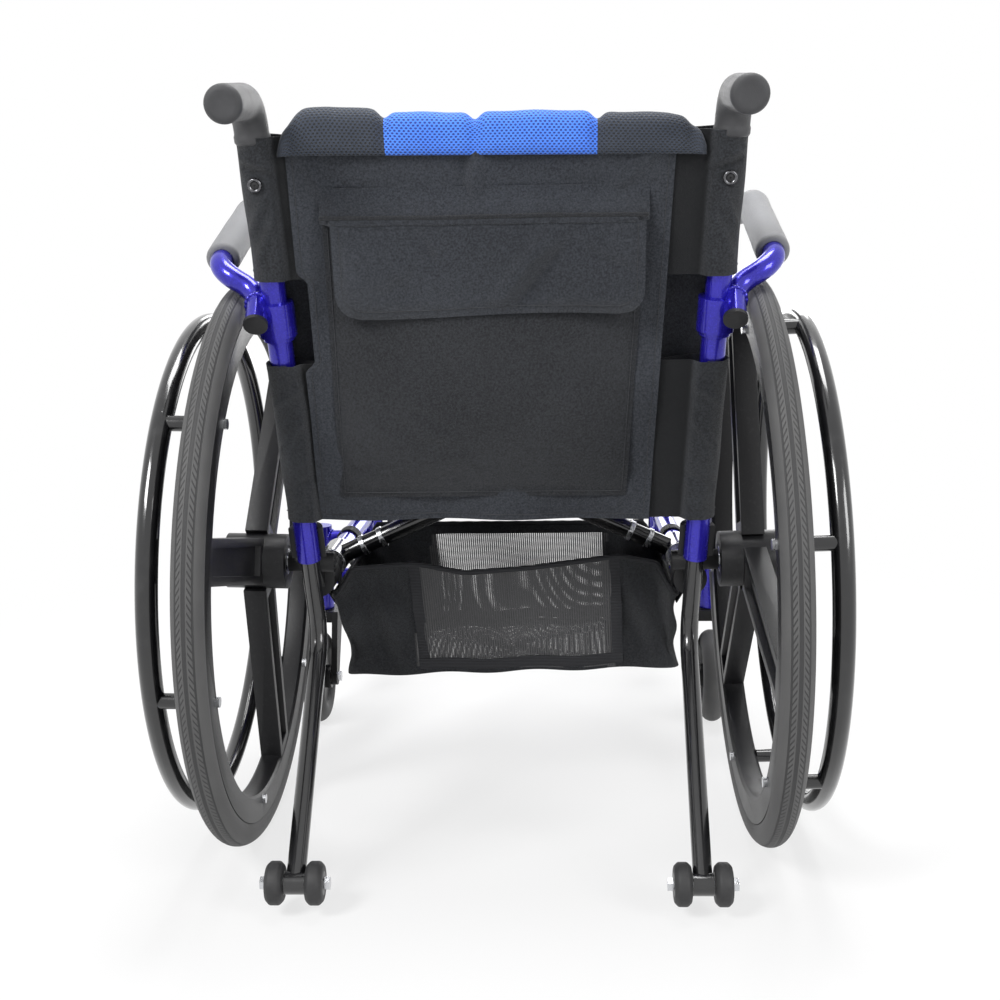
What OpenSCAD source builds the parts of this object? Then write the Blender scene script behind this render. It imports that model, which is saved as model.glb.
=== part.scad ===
// Folding sports wheelchair: cambered three-spoke wheels, cross-brace frame, swing-away arms,
// anti-tip wheels and a sling back with a pocket. It faces +Y and stands on z = 0.
// The origin is on the floor, under the middle of the whole chair.

/* [Drive wheels] */
// Outside diameter of a drive wheel
wheel_d = 610; // [580:1:640]
// Thickness of a drive tyre
tyre_w = 30; // [27:1:34]
// Height of the tyre above its seat on the rim
tyre_depth = 24; // [20:1:26]
// Lean of each drive wheel, with the bottoms outward
camber = 1.5; // [0:0.5:3]
// Distance of the wheel planes outboard of the side frames, at axle height
wheel_out = 64; // [62:1:74]
// Width of the moulded rim
rim_w = 26; // [24:1:30]
// Depth of the moulded rim below the tyre seat
rim_depth = 28; // [26:1:34]
// Number of spokes in a wheel
spokes = 3; // [3:1:6]
// Width of a spoke where it leaves the hub
spoke_root_w = 50; // [40:1:56]
// Width of a spoke where it meets the rim
spoke_tip_w = 44; // [30:1:56]
// Thickness of a spoke
spoke_t = 24; // [18:1:26]
// Width of the raised edge round a spoke's sunk panel
spoke_edge = 9; // [6:1:12]
// Depth of a spoke's sunk panel
spoke_sink = 6; // [3:0.5:8]
// Diameter of the wheel hub
hub_d = 60; // [54:1:70]
// Length of the wheel hub
hub_len = 66; // [60:1:70]
// Diameter of the handrim circle, along the middle of its tube
handrim_d = 517; // [500:1:530]
// Diameter of the handrim tube
handrim_tube = 21; // [18:0.5:24]
// Distance from the wheel plane out to the handrim
handrim_out = 46; // [40:1:52]
// Number of tabs that hold a handrim
tabs = 6; // [4:1:8]
// Diameter of a handrim tab
tab_d = 15; // [13:1:17]
// Diameter of a handrim bolt
tab_bolt_d = 5; // [4:0.5:6]

/* [Axles] */
// Diameter of the quick-release axle
axle_d = 12.7; // [12:0.1:14]
// Diameter of the receiver tube that holds the axle in the frame
receiver_d = 22; // [20:1:26]
// Length of the receiver tube
receiver_len = 50; // [44:1:60]
// Outside diameter of a hub bearing
bearing_d = 28; // [24:1:32]
// Width of a hub bearing
bearing_w = 9; // [7:1:11]
// Diameter of the axle's head
axle_head_d = 22; // [20:1:26]
// Thickness of the axle's head
axle_head_t = 9; // [7:1:12]
// Diameter of the release button
button_d = 8; // [6:0.5:10]
// How far the release button stands out
button_out = 5; // [5:0.5:8]
// Length of the release button
button_len = 10; // [9:0.5:10.5]
// Depth of the button's bore in the axle
button_bore = 14; // [13:1:18]

/* [Frame] */
// Room between each end of the back cushion and the middle of the side frame
cushion_room = 10; // [8:0.5:14]
// Diameter of the frame tube
frame_tube = 25; // [23:1:26]
// Height of the lower side rail
lower_z = 278; // [272:1:284]
// Height of the upper side rail
upper_z = 430; // [426:1:434]
// Height of the lower end of a back cane
cane_foot_z = 313; // [308:1:318]
// Distance of that lower end behind the wheel axle
cane_back = 32; // [30:1:36]
// Backward lean of the back canes
cane_recline = 14; // [10:0.5:16]
// Outward lean of the back canes
cane_flare = 2.5; // [1:0.5:3]
// Height of the corner where a cane turns into its push handle, above the upper side rail
handle_rise = 346; // [344:1:360]
// Length of a push handle behind that corner
handle_len = 100; // [90:1:120]
// Downward slope of a push handle
handle_drop = 8; // [0:1:12]
// Bend radius where a cane turns into its handle
handle_bend = 30; // [26:1:31]
// Outside diameter of a push grip
grip_d = 34; // [31:0.5:38]
// Thickness of a push grip's end wall
grip_end_t = 4; // [3:0.5:6]
// Length of the front hanger below the upper rail, measured down
hanger_drop = 288; // [280:1:296]
// Slope of the front hanger below level
hanger_slope = 70; // [66:1:76]
// Bend radius where the upper rail turns into the hanger
hanger_bend = 70; // [55:1:85]
// Distance of the front corner of the upper rail ahead of the wheel axle
front_corner = 430; // [425:1:440]
// Distance of the lower rail's rear end ahead of the wheel axle
lower_rail_start = 22; // [20:1:26]
// Wall of the bracket round each tube that it clamps
bracket_wall = 6; // [5:0.5:7]
// Length of the bracket's clamp on the lower rail
bracket_grip = 38; // [32:1:40]
// Thickness of the bracket's web
bracket_web = 16; // [12:1:20]

/* [Casters] */
// Diameter of a caster wheel
caster_d = 125; // [115:1:130]
// Width of a caster wheel
caster_w = 30; // [26:1:34]
// Distance of the caster stem ahead of the wheel lock's pivot
caster_lead = 65; // [62:1:70]
// Distance of a caster's axle behind its stem
caster_trail = 38; // [32:1:40]
// Diameter of the caster stem
stem_d = 12; // [10:0.5:14]
// Length of the caster stem above its fork
stem_len = 104; // [90:1:108]
// Outside diameter of the caster housing
housing_d = 36; // [32:1:40]
// Diameter of the two arms that carry a caster housing
caster_arm_d = 22; // [20:0.5:23]
// Height of the lower of those arms
caster_arm_z = 196; // [190:1:200]
// Distance from the lower arm up to the upper one
caster_arm_step = 54; // [50:1:58]
// Distance of the arms' inner ends inboard of the side frame
caster_arm_in = 26; // [20:1:30]
// Thickness of a fork leg
fork_t = 8; // [6:0.5:10]
// Width of a fork leg
fork_leg_w = 24; // [20:1:28]
// Thickness of the fork's crown
crown_h = 15; // [12:1:18]
// Room between a caster wheel and its fork's crown
crown_gap = 10; // [8:1:12]
// Room between a caster wheel and each fork leg
fork_gap = 3; // [2.5:0.5:5]
// Diameter of a caster axle
caster_axle_d = 8; // [6:0.5:10]

/* [Cross-brace] */
// Diameter of a brace arm
arm_tube = 22; // [20:1:23]
// Height of the seat rails
seat_rail_z = 462; // [460:1:466]
// Diameter of a seat rail
seat_rail_tube = 22; // [20:1:23]
// Distance of the rear end of a seat rail behind the wheel axle
seat_rail_back = 25; // [15:1:30]
// Distance of the front end of a seat rail ahead of the wheel axle
seat_rail_front = 385; // [370:1:392]
// Distance of the brace's middle bolt ahead of the wheel axle
brace_ahead = 150; // [140:1:170]
// Distance from the brace's middle to the middle of each arm
arm_step = 14; // [13:0.5:16]
// Wall of the arm's collar round the lower rail
collar_wall = 5; // [4:0.5:5.5]
// Length of the arm's collar
collar_len = 60; // [50:1:66]
// Diameter of the middle bolt
brace_bolt_d = 10; // [8:1:12]
// Diameter of the boss round the middle bolt
brace_boss_d = 28; // [25:1:32]
// Length of a saddle along the rails
saddle_len = 30; // [24:1:34]
// Width of a saddle
saddle_w = 32; // [30:1:34]

/* [Arms] */
// Diameter of the arm tube
armrest_tube = 22; // [20:1:24]
// Height of the collar's middle on the cane
arm_collar_z = 572; // [568:1:576]
// Height of the collar
arm_collar_h = 34; // [30:1:38]
// Wall of the collar
arm_collar_wall = 6; // [5:0.5:7]
// Distance of the arm tube's rear end behind the cane
arm_tail = 27; // [25:1:29]
// Distance of the arm tube's rear end outboard of the cane
arm_out = 15.5; // [15:0.5:16]
// Distance of the arm's level stretch outboard of the side frame
arm_spread = 73; // [70:1:78]
// Height of the arm's level stretch
arm_z = 682; // [674:1:690]
// Height of the arm's lower elbow
arm_elbow_z = 622; // [620:1:626]
// Distance of the front end of the arm ahead of the wheel axle
arm_front = 300; // [280:1:320]
// Outside diameter of the foam pad
pad_d = 35; // [30:1:38]
// Bend radius of the arm tube
arm_bend = 30; // [28:1:32]
// Thickness of the arm tube's end plug
plug_t = 4; // [3:0.5:6]

/* [Anti-tip wheels] */
// Diameter of an anti-tip tube
tip_tube = 19; // [17:0.5:20]
// Length of an anti-tip tube inside its cane
tip_insert = 60; // [50:1:70]
// Height of the bend in an anti-tip tube
tip_bend_z = 222; // [216:1:228]
// Distance of the anti-tip axle behind the wheel axle
tip_back = 222; // [212:1:230]
// Height of the anti-tip axle
tip_axle_z = 33; // [31:1:40]
// Distance of an anti-tip wheel pair's middle inboard of the side frame
tip_in = 9; // [4:1:14]
// Bend radius of an anti-tip tube
tip_bend = 45; // [38:1:50]
// Diameter of an anti-tip wheel
tip_wheel_d = 42; // [38:1:44]
// Width of an anti-tip wheel
tip_wheel_w = 17; // [15:1:19]
// Diameter of an anti-tip axle
tip_axle_d = 8; // [6:0.5:9]

/* [Wheel locks] */
// Room between a lock's pivot and the tyre
lock_room = 51.6; // [50:0.1:56]
// Height of a lock's pivot
lock_z = 440; // [438:1:446]
// Diameter of a lock's pivot pin
lock_pin_d = 8; // [7:0.5:9]
// How much longer the shoe's arm is than the way from its pivot to the open shoe
lock_lead = 11.4; // [10:0.1:12.5]
// Diameter of the shoe
shoe_d = 14; // [12:1:15]
// Clear gap between the shoe and the tyre when the lock is open
shoe_gap = 10; // [8:0.5:12]
// Thickness of the lever plate
lever_t = 8; // [6:0.5:9]
// Length of the lever above its pivot
lever_len = 105; // [90:1:120]
// Diameter of the lever's knob
knob_d = 20; // [18:1:24]

/* [Footplates] */
// Length of a footplate, front to back
plate_len = 120; // [110:1:130]
// Width of a footplate
plate_w = 150; // [130:1:155]
// Thickness of a footplate
plate_t = 8; // [6:0.5:9]
// Distance of the flip pivot inboard of the hanger
plate_in = 27; // [27:0.5:30]
// Diameter of the flip pivot bar
plate_bar_d = 12; // [10:0.5:13]
// Angle of the stowed footplate above level
plate_up = 92; // [90:0.5:92.5]

/* [Back] */
// Wall of the sleeves sewn round the canes
sleeve_wall = 3.5; // [3:0.25:4]
// Thickness of the back panel
back_t = 4; // [3:0.5:5]
// Distance of the upper edge of the back panel below the push handle's corner
back_drop = 31; // [30:0.5:34]
// Height of the lower edge of the back panel
back_low_z = 362; // [359:1:370]
// Height where the upper sleeve ends
sleeve_high_z = 612; // [606:1:620]
// Height where the lower sleeve starts
sleeve_low_z = 528; // [520:1:534]
// Width of the back cushion, which sets the width of the chair
cushion_w = 392; // [370:2:396]
// Length of the cushion's turned-over flap behind the panel
cushion_fall = 21; // [17:1:25]
// Length of the cushion in front of the panel
cushion_front = 90; // [60:1:120]
// Thickness of the cushion's mesh
cushion_t = 9; // [7:0.5:10]
// Width of the pocket at its top
pocket_w = 320; // [300:2:330]
// Width of the pocket at its bottom
pocket_foot_w = 296; // [280:2:310]
// Distance of the pocket's upper edge below the back panel's
pocket_drop = 77; // [69:1:85]
// Height of the pocket's lower edge
pocket_low_z = 388; // [380:1:396]
// Bulge of the pocket
pocket_bulge = 13; // [8:1:16]
// Length of the flap
flap_len = 88; // [78:1:98]
// Thickness of the flap
flap_t = 4; // [3:0.5:5]
// Distance of a sleeve screw below the back panel's upper edge
screw_drop = 42; // [35:1:50]
// Diameter of a sleeve screw's head
screw_d = 14; // [12:1:16]

/* [Seat and bag] */
// Thickness of the seat sling
sling_t = 3; // [2:0.5:4]
// Sag of the seat sling in its middle
sling_sag = 12; // [6:1:18]
// Room between each side of the bag and the middle of the side frame
bag_room = 9; // [7:0.5:16]
// Distance of each end of the bag's raised rear panel inboard of the bag's side
mouth_in = 16; // [13:1:27]
// Depth of the bag, front to back
bag_len = 225; // [200:1:226]
// Distance of the bag's rear panel ahead of the wheel axle
bag_ahead = 40; // [38:1:44]
// Height of the bag's bottom
bag_z = 161; // [150:1:170]
// Height of the upper edge of the bag's rear panel
bag_top_z = 294; // [284:1:300]
// Height of the upper edge of the bag's sides and front
bag_side_z = 256; // [240:1:257]
// Thickness of the bag's cloth
bag_t = 2; // [1.5:0.5:3]

/* [Fits] */
// Radial clearance of shafts, pins and pivots
running = 0.05; // [0.03:0.01:0.08]
// Clearance between cloth or clamps and what they lie against
lying = 0.3; // [0.2:0.05:0.5]
// Clearance of pieces pressed or bonded together
seated = 0.1; // [0.05:0.05:0.2]

/* [Hidden] */
$fn = 64;
bend_swage = 0.1;
bend_lap = 1;
cut_lap = 1;
rim_chamfer = 3;
spoke_lap = 6;
spoke_tip_lap = 2;
tab_shift = 1;
tab_bolt_in = 12;
bolt_head_t = 4;
nut_t = 5;
nut_wide = 1.7;
hub_bore_wall = 3;
bracket_foot = 2;
bracket_top = 36;
caster_hub_wall = 12;
housing_cap = 7;
caster_web_t = 16;
caster_side_gap = 0.5;
saddles_at = [45, 250];
saddle_low = 4;
saddle_high = 1;
arm_stop_t = 4;
arm_tail_drop = 3;
arm_knee = [17.5, 4, 25];
arm_elbow = [-2, 9.5];
arm_crest = 189;
arm_room = 36;
gap_hem = 3;
front_lap = 15;
front_thin = 0.7;
pad_bare = 4;
pad_end_t = 5;
plug_over = 2;
tip_boss_wall = 1.5;
side_gap = 1;
tip_chamfer = 4;
lock_clamp_len = 30;
lock_clamp_wall = 4.5;
lock_ear_d = 28;
lock_ear_t = 8;
lever_out = 18;
lever_w = 12;
lever_eye_d = 22;
plate_ahead = 22;
knuckle_wall = 4.5;
frame_w = cushion_w + 2 * cushion_room;
frame_x = frame_w / 2;
wheel_x = frame_x + wheel_out;
arm_x = frame_x + arm_spread;
tip_x = frame_x - tip_in;
bag_w = frame_w - 2 * bag_room;
bag_mouth_w = bag_w - 2 * mouth_in;
wheel_r = wheel_d / 2;
tyre_ring_r = wheel_r - tyre_w / 2;
tyre_seat_r = wheel_r - tyre_depth;
rim_in_r = tyre_seat_r - rim_depth;
hub_z = tyre_ring_r * cos(camber) + tyre_w / 2;
tab_r = handrim_d / 2 + tab_shift;
spoke_turn = 360 / spokes;
tab_turn = 360 / tabs;
hub_in = 35;
hub_out = hub_len - hub_in;
cane_y = -cane_back;
handle_z = upper_z + handle_rise;
back_top_z = handle_z - back_drop;
pocket_top_z = back_top_z - pocket_drop;
flap_low_z = pocket_top_z - flap_len;
screw_z = back_top_z - screw_drop;
hanger_low_z = upper_z - hanger_drop;
hanger_low_y = front_corner + hanger_drop / tan(hanger_slope);
plate_x = frame_x - plate_in;
plate_y = hanger_low_y + plate_ahead;
lug_len = 22;
front_reach = plate_y + plate_len / 2;
axle_y = (wheel_r - front_reach) / 2;
caster_axle_z = caster_d / 2;
crown_z = caster_d + crown_gap;
crown_w = caster_w + 2 * (fork_gap + fork_t);
housing_z = crown_z + crown_h + side_gap;
brace_rise = seat_rail_z - lower_z;
brace_mid = [0, brace_ahead, lower_z + brace_rise / 2];
sleeve_d = frame_tube + 2 * (lying + sleeve_wall);
panel_back = 8;
lock_reach = wheel_r + lock_room;
lock_ahead = sqrt(lock_reach ^ 2 - (lock_z - hub_z) ^ 2);
shoe_open = wheel_r + shoe_d / 2 + shoe_gap;
lock_arm = lock_reach - shoe_open + lock_lead;
caster_ahead = lock_ahead + caster_lead;
caster_x = wheel_x;
caster_arms = [caster_arm_z, caster_arm_z + caster_arm_step];
shoe_swing = acos((lock_reach ^ 2 + lock_arm ^ 2 - shoe_open ^ 2) / (2 * lock_reach * lock_arm));
shoe_dip = atan2(lock_z - hub_z, lock_ahead) + shoe_swing;
left = -1;
right = 1;
frame_blue = [0.10, 0.24, 0.62];
cloth_black = [0.10, 0.10, 0.11];

// Directions and places

function unit(v) = v / norm(v);

// A point on the right cane's middle line at height z
function cane_at(z) = [
    frame_x + (z - cane_foot_z) * tan(cane_flare),
    cane_y - (z - cane_foot_z) * tan(cane_recline),
    z
];
cane_dir = unit(cane_at(1) - cane_at(0));

// Height along the leaning back plane that has the height z
function back_h(z) = (z - cane_foot_z) / cos(cane_recline);

// Distance of the canes from the chair's middle at a height along the back plane
function cane_x(h) = frame_x + h * cos(cane_recline) * tan(cane_flare);

function corner_angle(a, b, c) = acos(unit(b - a) * unit(c - b));
function corner_cut(a, b, c, r) = r * tan(corner_angle(a, b, c) / 2);

// Everything is drawn from the wheel axle, for the right side, and mirrored for the left
module place(side) {
    translate([0, axle_y, 0]) {
        if (side < 0) mirror([1, 0, 0]) children();
        else children();
    }
}

// The wheel's own frame: +Z out along its axle, +X down
module at_wheel() {
    translate([wheel_x, 0, hub_z]) rotate([0, 90 - camber, 0]) children();
}

// The leaning plane of the canes: +Z up along the back, -Y behind it
module on_back() {
    translate([0, cane_y, cane_foot_z]) rotate([cane_recline, 0, 0]) children();
}

module rod(a, b, d) {
    v = b - a;
    translate(a) rotate([0, acos(v.z / norm(v)), atan2(v.y, v.x)]) cylinder(h = norm(v), d = d);
}

module tube_bend(a, b, c, d, r) {
    u = unit(b - a);
    w = unit(c - b);
    m = unit(w - (w * u) * u);
    n = cross(u, m);
    o = b - u * corner_cut(a, b, c, r) + r * m;
    // a bend is swaged a hair wider, so that the straight runs end inside it
    multmatrix([
        [-m.x, u.x, n.x, o.x],
        [-m.y, u.y, n.y, o.y],
        [-m.z, u.z, n.z, o.z],
        [0, 0, 0, 1]
    ])
        rotate_extrude(angle = corner_angle(a, b, c)) translate([r, 0])
            circle(d = d + 2 * bend_swage);
}

// A round tube along straight runs with a true arc at each corner
module bent_tube(p, d, r) {
    last = len(p) - 1;
    for (i = [0 : last - 1]) {
        u = unit(p[i + 1] - p[i]);
        from_cut = i == 0 ? 0 : corner_cut(p[i - 1], p[i], p[i + 1], r) - bend_lap;
        to_cut = i + 1 == last ? 0 : corner_cut(p[i], p[i + 1], p[i + 2], r) - bend_lap;
        rod(p[i] + u * from_cut, p[i + 1] - u * to_cut, d);
    }
    for (i = [1 : 1 : last - 1]) tube_bend(p[i - 1], p[i], p[i + 1], d, r);
}

// A closed skin between two grids of points, one behind the other
module padded(outer, inner) {
    n = len(outer);
    k = len(outer[0]);
    ring = 2 * k;
    points = [for (i = [0 : n - 1]) each concat(outer[i], [for (j = [k - 1 : -1 : 0]) inner[i][j]])];
    sides = [for (i = [0 : n - 2], j = [0 : ring - 1])
        let (a = i * ring + j, b = i * ring + (j + 1) % ring)
        each [[a, b, b + ring], [a, b + ring, a + ring]]];
    ends = [for (j = [0 : k - 2])
        let (a = j, b = j + 1, c = ring - 2 - j, d = ring - 1 - j, e = (n - 1) * ring)
        each [[a, c, b], [a, d, c], [a + e, b + e, c + e], [a + e, c + e, d + e]]];
    polyhedron(points, concat(sides, ends));
}

// Side frames

handle_end = cane_at(handle_z) + handle_len * [0, -cos(handle_drop), -sin(handle_drop)];
cane_path = [cane_at(cane_foot_z), cane_at(handle_z), handle_end];
rail_path = [
    [frame_x, cane_at(upper_z).y, upper_z],
    [frame_x, front_corner, upper_z],
    [frame_x, hanger_low_y, hanger_low_z]
];

module side_frame(side) {
    color(frame_blue) place(side) difference() {
        union() {
            bent_tube(cane_path, frame_tube, handle_bend);
            bent_tube(rail_path, frame_tube, hanger_bend);
            rod([frame_x, lower_rail_start, lower_z], [frame_x, caster_ahead, lower_z], frame_tube);
            translate([frame_x, caster_ahead, caster_arm_z - frame_tube / 2])
                cylinder(h = upper_z - caster_arm_z + frame_tube / 2, d = frame_tube);
            for (z = caster_arms)
                rod([frame_x - caster_arm_in, caster_ahead, z], [caster_x, caster_ahead, z], caster_arm_d);
            translate([caster_x, caster_ahead, housing_z])
                cylinder(h = caster_arms[1] + caster_arm_d / 2 + housing_cap - housing_z, d = housing_d);
            arm_stop();
            flip_pivot();
        }
        rod(cane_at(cane_foot_z) - cut_lap * cane_dir,
            cane_at(cane_foot_z) + (tip_insert + cut_lap) * cane_dir, tip_tube + 2 * running);
        translate([caster_x, caster_ahead, housing_z - cut_lap])
            cylinder(h = stem_len + 2 * cut_lap, d = stem_d + 2 * running);
    }
}

// The ring welded round the cane that carries the arm's collar
module arm_stop() {
    foot = cane_at(arm_collar_z) - (arm_collar_h / 2 + lying) * cane_dir;
    rod(foot - arm_stop_t * cane_dir, foot, frame_tube + arm_collar_wall);
}

// The lug and bar at the hanger's foot on which the footplate turns
module flip_pivot() {
    translate([plate_x, hanger_low_y - lug_len / 2, hanger_low_z - frame_tube / 2])
        cube([plate_in, lug_len, frame_tube]);
    translate([plate_x, plate_y + plate_len / 2, hanger_low_z]) rotate([90, 0, 0])
        cylinder(h = plate_len, d = plate_bar_d);
}

// The grip reaches round the bend, down to where the cane runs straight
module push_grip(side) {
    back = unit(handle_end - cane_at(handle_z));
    foot = cane_at(handle_z)
        - (corner_cut(cane_path[0], cane_path[1], cane_path[2], handle_bend) + bend_lap) * cane_dir;
    color([0.09, 0.09, 0.09]) place(side) difference() {
        bent_tube([foot, cane_path[1], handle_end + grip_end_t * back], grip_d, handle_bend);
        bent_tube([foot - cane_dir, cane_path[1], handle_end], frame_tube + 2 * seated, handle_bend);
    }
}

// Axles and drive wheels

module axle_bracket(side) {
    tube_out = frame_tube + 2 * bracket_wall;
    rail_end = lower_rail_start + bracket_grip;
    color([0.13, 0.13, 0.14]) place(side) difference() {
        union() {
            rod(cane_at(cane_foot_z + bracket_foot), cane_at(cane_foot_z + bracket_top), tube_out);
            translate([frame_x, rail_end, lower_z]) rotate([90, 0, 0])
                cylinder(h = bracket_grip + bracket_wall, d = tube_out);
            at_wheel() translate([0, 0, -hub_in - cut_lap - receiver_len])
                cylinder(h = receiver_len, d = receiver_d);
            translate([frame_x, 0, 0]) rotate([90, 0, 90])
                linear_extrude(bracket_web, center = true) polygon([
                    [cane_y - bracket_wall, cane_foot_z + 2 * bracket_foot],
                    [lower_rail_start, lower_z - 2 * bracket_wall],
                    [rail_end, lower_z],
                    [rail_end - bracket_wall, lower_z + frame_tube / 2 + bracket_foot],
                    [cane_y, cane_foot_z + bracket_top - bracket_foot]
                ]);
        }
        rod(cane_at(cane_foot_z - bracket_top), cane_at(cane_foot_z + 2 * bracket_top),
            frame_tube + 2 * seated);
        // its cup holds the cane from in front and leaves the cane's back bare
        on_back() translate([frame_x - tube_out, -2 * tube_out, -bracket_top])
            cube([2 * tube_out, 2 * tube_out, 3 * bracket_top]);
        translate([frame_x, lower_rail_start + 2 * bracket_grip, lower_z]) rotate([90, 0, 0])
            cylinder(h = 2 * bracket_grip, d = frame_tube + 2 * seated);
        at_wheel() translate([0, 0, -hub_in - 2 * cut_lap - receiver_len])
            cylinder(h = receiver_len + 2 * cut_lap, d = axle_d + 2 * running);
    }
}

module axle(side) {
    color([0.72, 0.73, 0.75]) place(side) at_wheel() difference() {
        union() {
            translate([0, 0, -hub_in - receiver_len]) cylinder(h = hub_len + receiver_len + side_gap, d = axle_d);
            translate([0, 0, hub_out + side_gap]) cylinder(h = axle_head_t, d = axle_head_d);
        }
        translate([0, 0, hub_out + side_gap + axle_head_t - button_bore])
            cylinder(h = button_bore + cut_lap, d = button_d + 2 * running);
    }
}

module axle_button(side) {
    color([0.80, 0.81, 0.82]) place(side) at_wheel()
        translate([0, 0, hub_out + side_gap + axle_head_t + button_out - button_len])
            cylinder(h = button_len, d = button_d);
}

// Angle of one spoke in the wheel's frame: the left wheel points one back, the right one up
spoke_stop = [258, 165];
function spoke_phase(side) = side < 0 ? spoke_stop[0] : spoke_stop[1];

module drive_wheel(side) {
    color([0.11, 0.11, 0.12]) place(side) at_wheel() difference() {
        union() {
            rotate_extrude() polygon([
                [rim_in_r, -rim_w / 2 + rim_chamfer],
                [rim_in_r + rim_chamfer, -rim_w / 2],
                [tyre_seat_r - seated, -rim_w / 2],
                [tyre_seat_r - seated, rim_w / 2],
                [rim_in_r + rim_chamfer, rim_w / 2],
                [rim_in_r, rim_w / 2 - rim_chamfer]
            ]);
            translate([0, 0, -hub_in]) cylinder(h = hub_len, d = hub_d);
            for (i = [0 : spokes - 1]) rotate([0, 0, spoke_phase(side) + i * spoke_turn]) spoke();
        }
        translate([0, 0, -hub_in - cut_lap])
            cylinder(h = hub_len + 2 * cut_lap, d = axle_d + 2 * hub_bore_wall);
        for (z = [-hub_in - cut_lap, hub_out - bearing_w])
            translate([0, 0, z]) cylinder(h = bearing_w + cut_lap, d = bearing_d + 2 * seated);
        at_tabs(side) translate([0, 0, -rim_w]) cylinder(h = 2 * rim_w, d = tab_bolt_d + 2 * seated);
    }
}

module spoke() {
    root = hub_d / 2 - spoke_lap;
    tip = rim_in_r + spoke_tip_lap;
    difference() {
        linear_extrude(spoke_t, center = true) polygon([
            [root, -spoke_root_w / 2], [tip, -spoke_tip_w / 2],
            [tip, spoke_tip_w / 2], [root, spoke_root_w / 2]
        ]);
        for (s = [-1, 1]) translate([0, 0, s * (spoke_t / 2)])
            linear_extrude(2 * spoke_sink, center = true) polygon([
                [hub_d / 2 + spoke_edge, -spoke_root_w / 2 + spoke_edge],
                [rim_in_r - spoke_edge, -spoke_tip_w / 2 + spoke_edge],
                [rim_in_r - spoke_edge, spoke_tip_w / 2 - spoke_edge],
                [hub_d / 2 + spoke_edge, spoke_root_w / 2 - spoke_edge]
            ]);
    }
}

module at_tabs(side) {
    for (i = [0 : tabs - 1])
        rotate([0, 0, spoke_phase(side) + spoke_turn / 4 + i * tab_turn]) translate([tab_r, 0, 0]) children();
}

module drive_tyre(side) {
    color([0.20, 0.20, 0.21]) place(side) at_wheel() rotate_extrude() intersection() {
        translate([tyre_ring_r, 0]) circle(d = tyre_w);
        translate([tyre_seat_r, -tyre_w]) square([tyre_w, 2 * tyre_w]);
    }
}

module handrim(side) {
    color([0.06, 0.06, 0.06]) place(side) at_wheel() difference() {
        union() {
            rotate_extrude() translate([handrim_d / 2, handrim_out]) circle(d = handrim_tube);
            at_tabs(side) translate([0, 0, rim_w / 2 + seated])
                cylinder(h = handrim_out - rim_w / 2 - seated, d = tab_d);
        }
        at_tabs(side) cylinder(h = rim_w / 2 + tab_bolt_in + cut_lap, d = tab_bolt_d + 2 * seated);
    }
}

module handrim_bolts(side) {
    color([0.55, 0.56, 0.58]) place(side) at_wheel() at_tabs(side) {
        translate([0, 0, -rim_w / 2]) cylinder(h = rim_w + tab_bolt_in, d = tab_bolt_d);
        translate([0, 0, -rim_w / 2 - bolt_head_t]) cylinder(h = bolt_head_t, d = 2 * tab_bolt_d);
    }
}

module hub_bearings(side) {
    color([0.70, 0.71, 0.73]) place(side) at_wheel()
        for (z = [-hub_in, hub_out - bearing_w]) translate([0, 0, z]) difference() {
            cylinder(h = bearing_w, d = bearing_d);
            translate([0, 0, -cut_lap]) cylinder(h = bearing_w + 2 * cut_lap, d = axle_d + 2 * running);
        }
}

// Casters

module at_caster() {
    translate([caster_x, caster_ahead, 0]) children();
}

module caster_fork(side) {
    color([0.13, 0.13, 0.14]) place(side) at_caster() difference() {
        union() {
            for (s = [-1, 1]) translate([s * (crown_w - fork_t) / 2, 0, 0]) rotate([90, 0, 90])
                linear_extrude(fork_t, center = true) {
                    polygon([
                        [-caster_trail - fork_leg_w / 2, caster_axle_z],
                        [-caster_trail + fork_leg_w / 2, caster_axle_z],
                        [fork_leg_w, crown_z + crown_h], [-fork_leg_w, crown_z + crown_h]
                    ]);
                    translate([-caster_trail, caster_axle_z]) circle(d = fork_leg_w);
                }
            translate([-crown_w / 2, -fork_leg_w, crown_z]) cube([crown_w, 2 * fork_leg_w, crown_h]);
            translate([0, 0, crown_z + crown_h]) cylinder(h = stem_len, d = stem_d);
        }
        translate([-crown_w, -caster_trail, caster_axle_z]) rotate([0, 90, 0])
            cylinder(h = 2 * crown_w, d = caster_axle_d + 2 * seated);
    }
}

module caster_wheel(side) {
    bore = caster_axle_d / 2 + running;
    hub_half = caster_w / 2 + fork_gap - caster_side_gap;
    color([0.15, 0.15, 0.16]) place(side) at_caster() translate([0, -caster_trail, caster_axle_z])
        rotate([0, 90, 0]) rotate_extrude() {
            translate([bore, -hub_half]) square([caster_hub_wall, 2 * hub_half]);
            translate([bore, -caster_web_t / 2]) square([caster_d / 2 - caster_w / 2 - bore, caster_web_t]);
            translate([caster_d / 2 - caster_w / 2, 0]) circle(d = caster_w);
        }
}

module caster_axle(side) {
    color([0.66, 0.67, 0.69]) place(side) at_caster()
        translate([0, -caster_trail, caster_axle_z]) rotate([0, 90, 0]) {
            translate([0, 0, -crown_w / 2]) cylinder(h = crown_w, d = caster_axle_d);
            for (z = [-crown_w / 2 - nut_t, crown_w / 2])
                translate([0, 0, z]) cylinder(h = nut_t, d = nut_wide * caster_axle_d, $fn = 6);
        }
}

// Cross-brace

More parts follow.
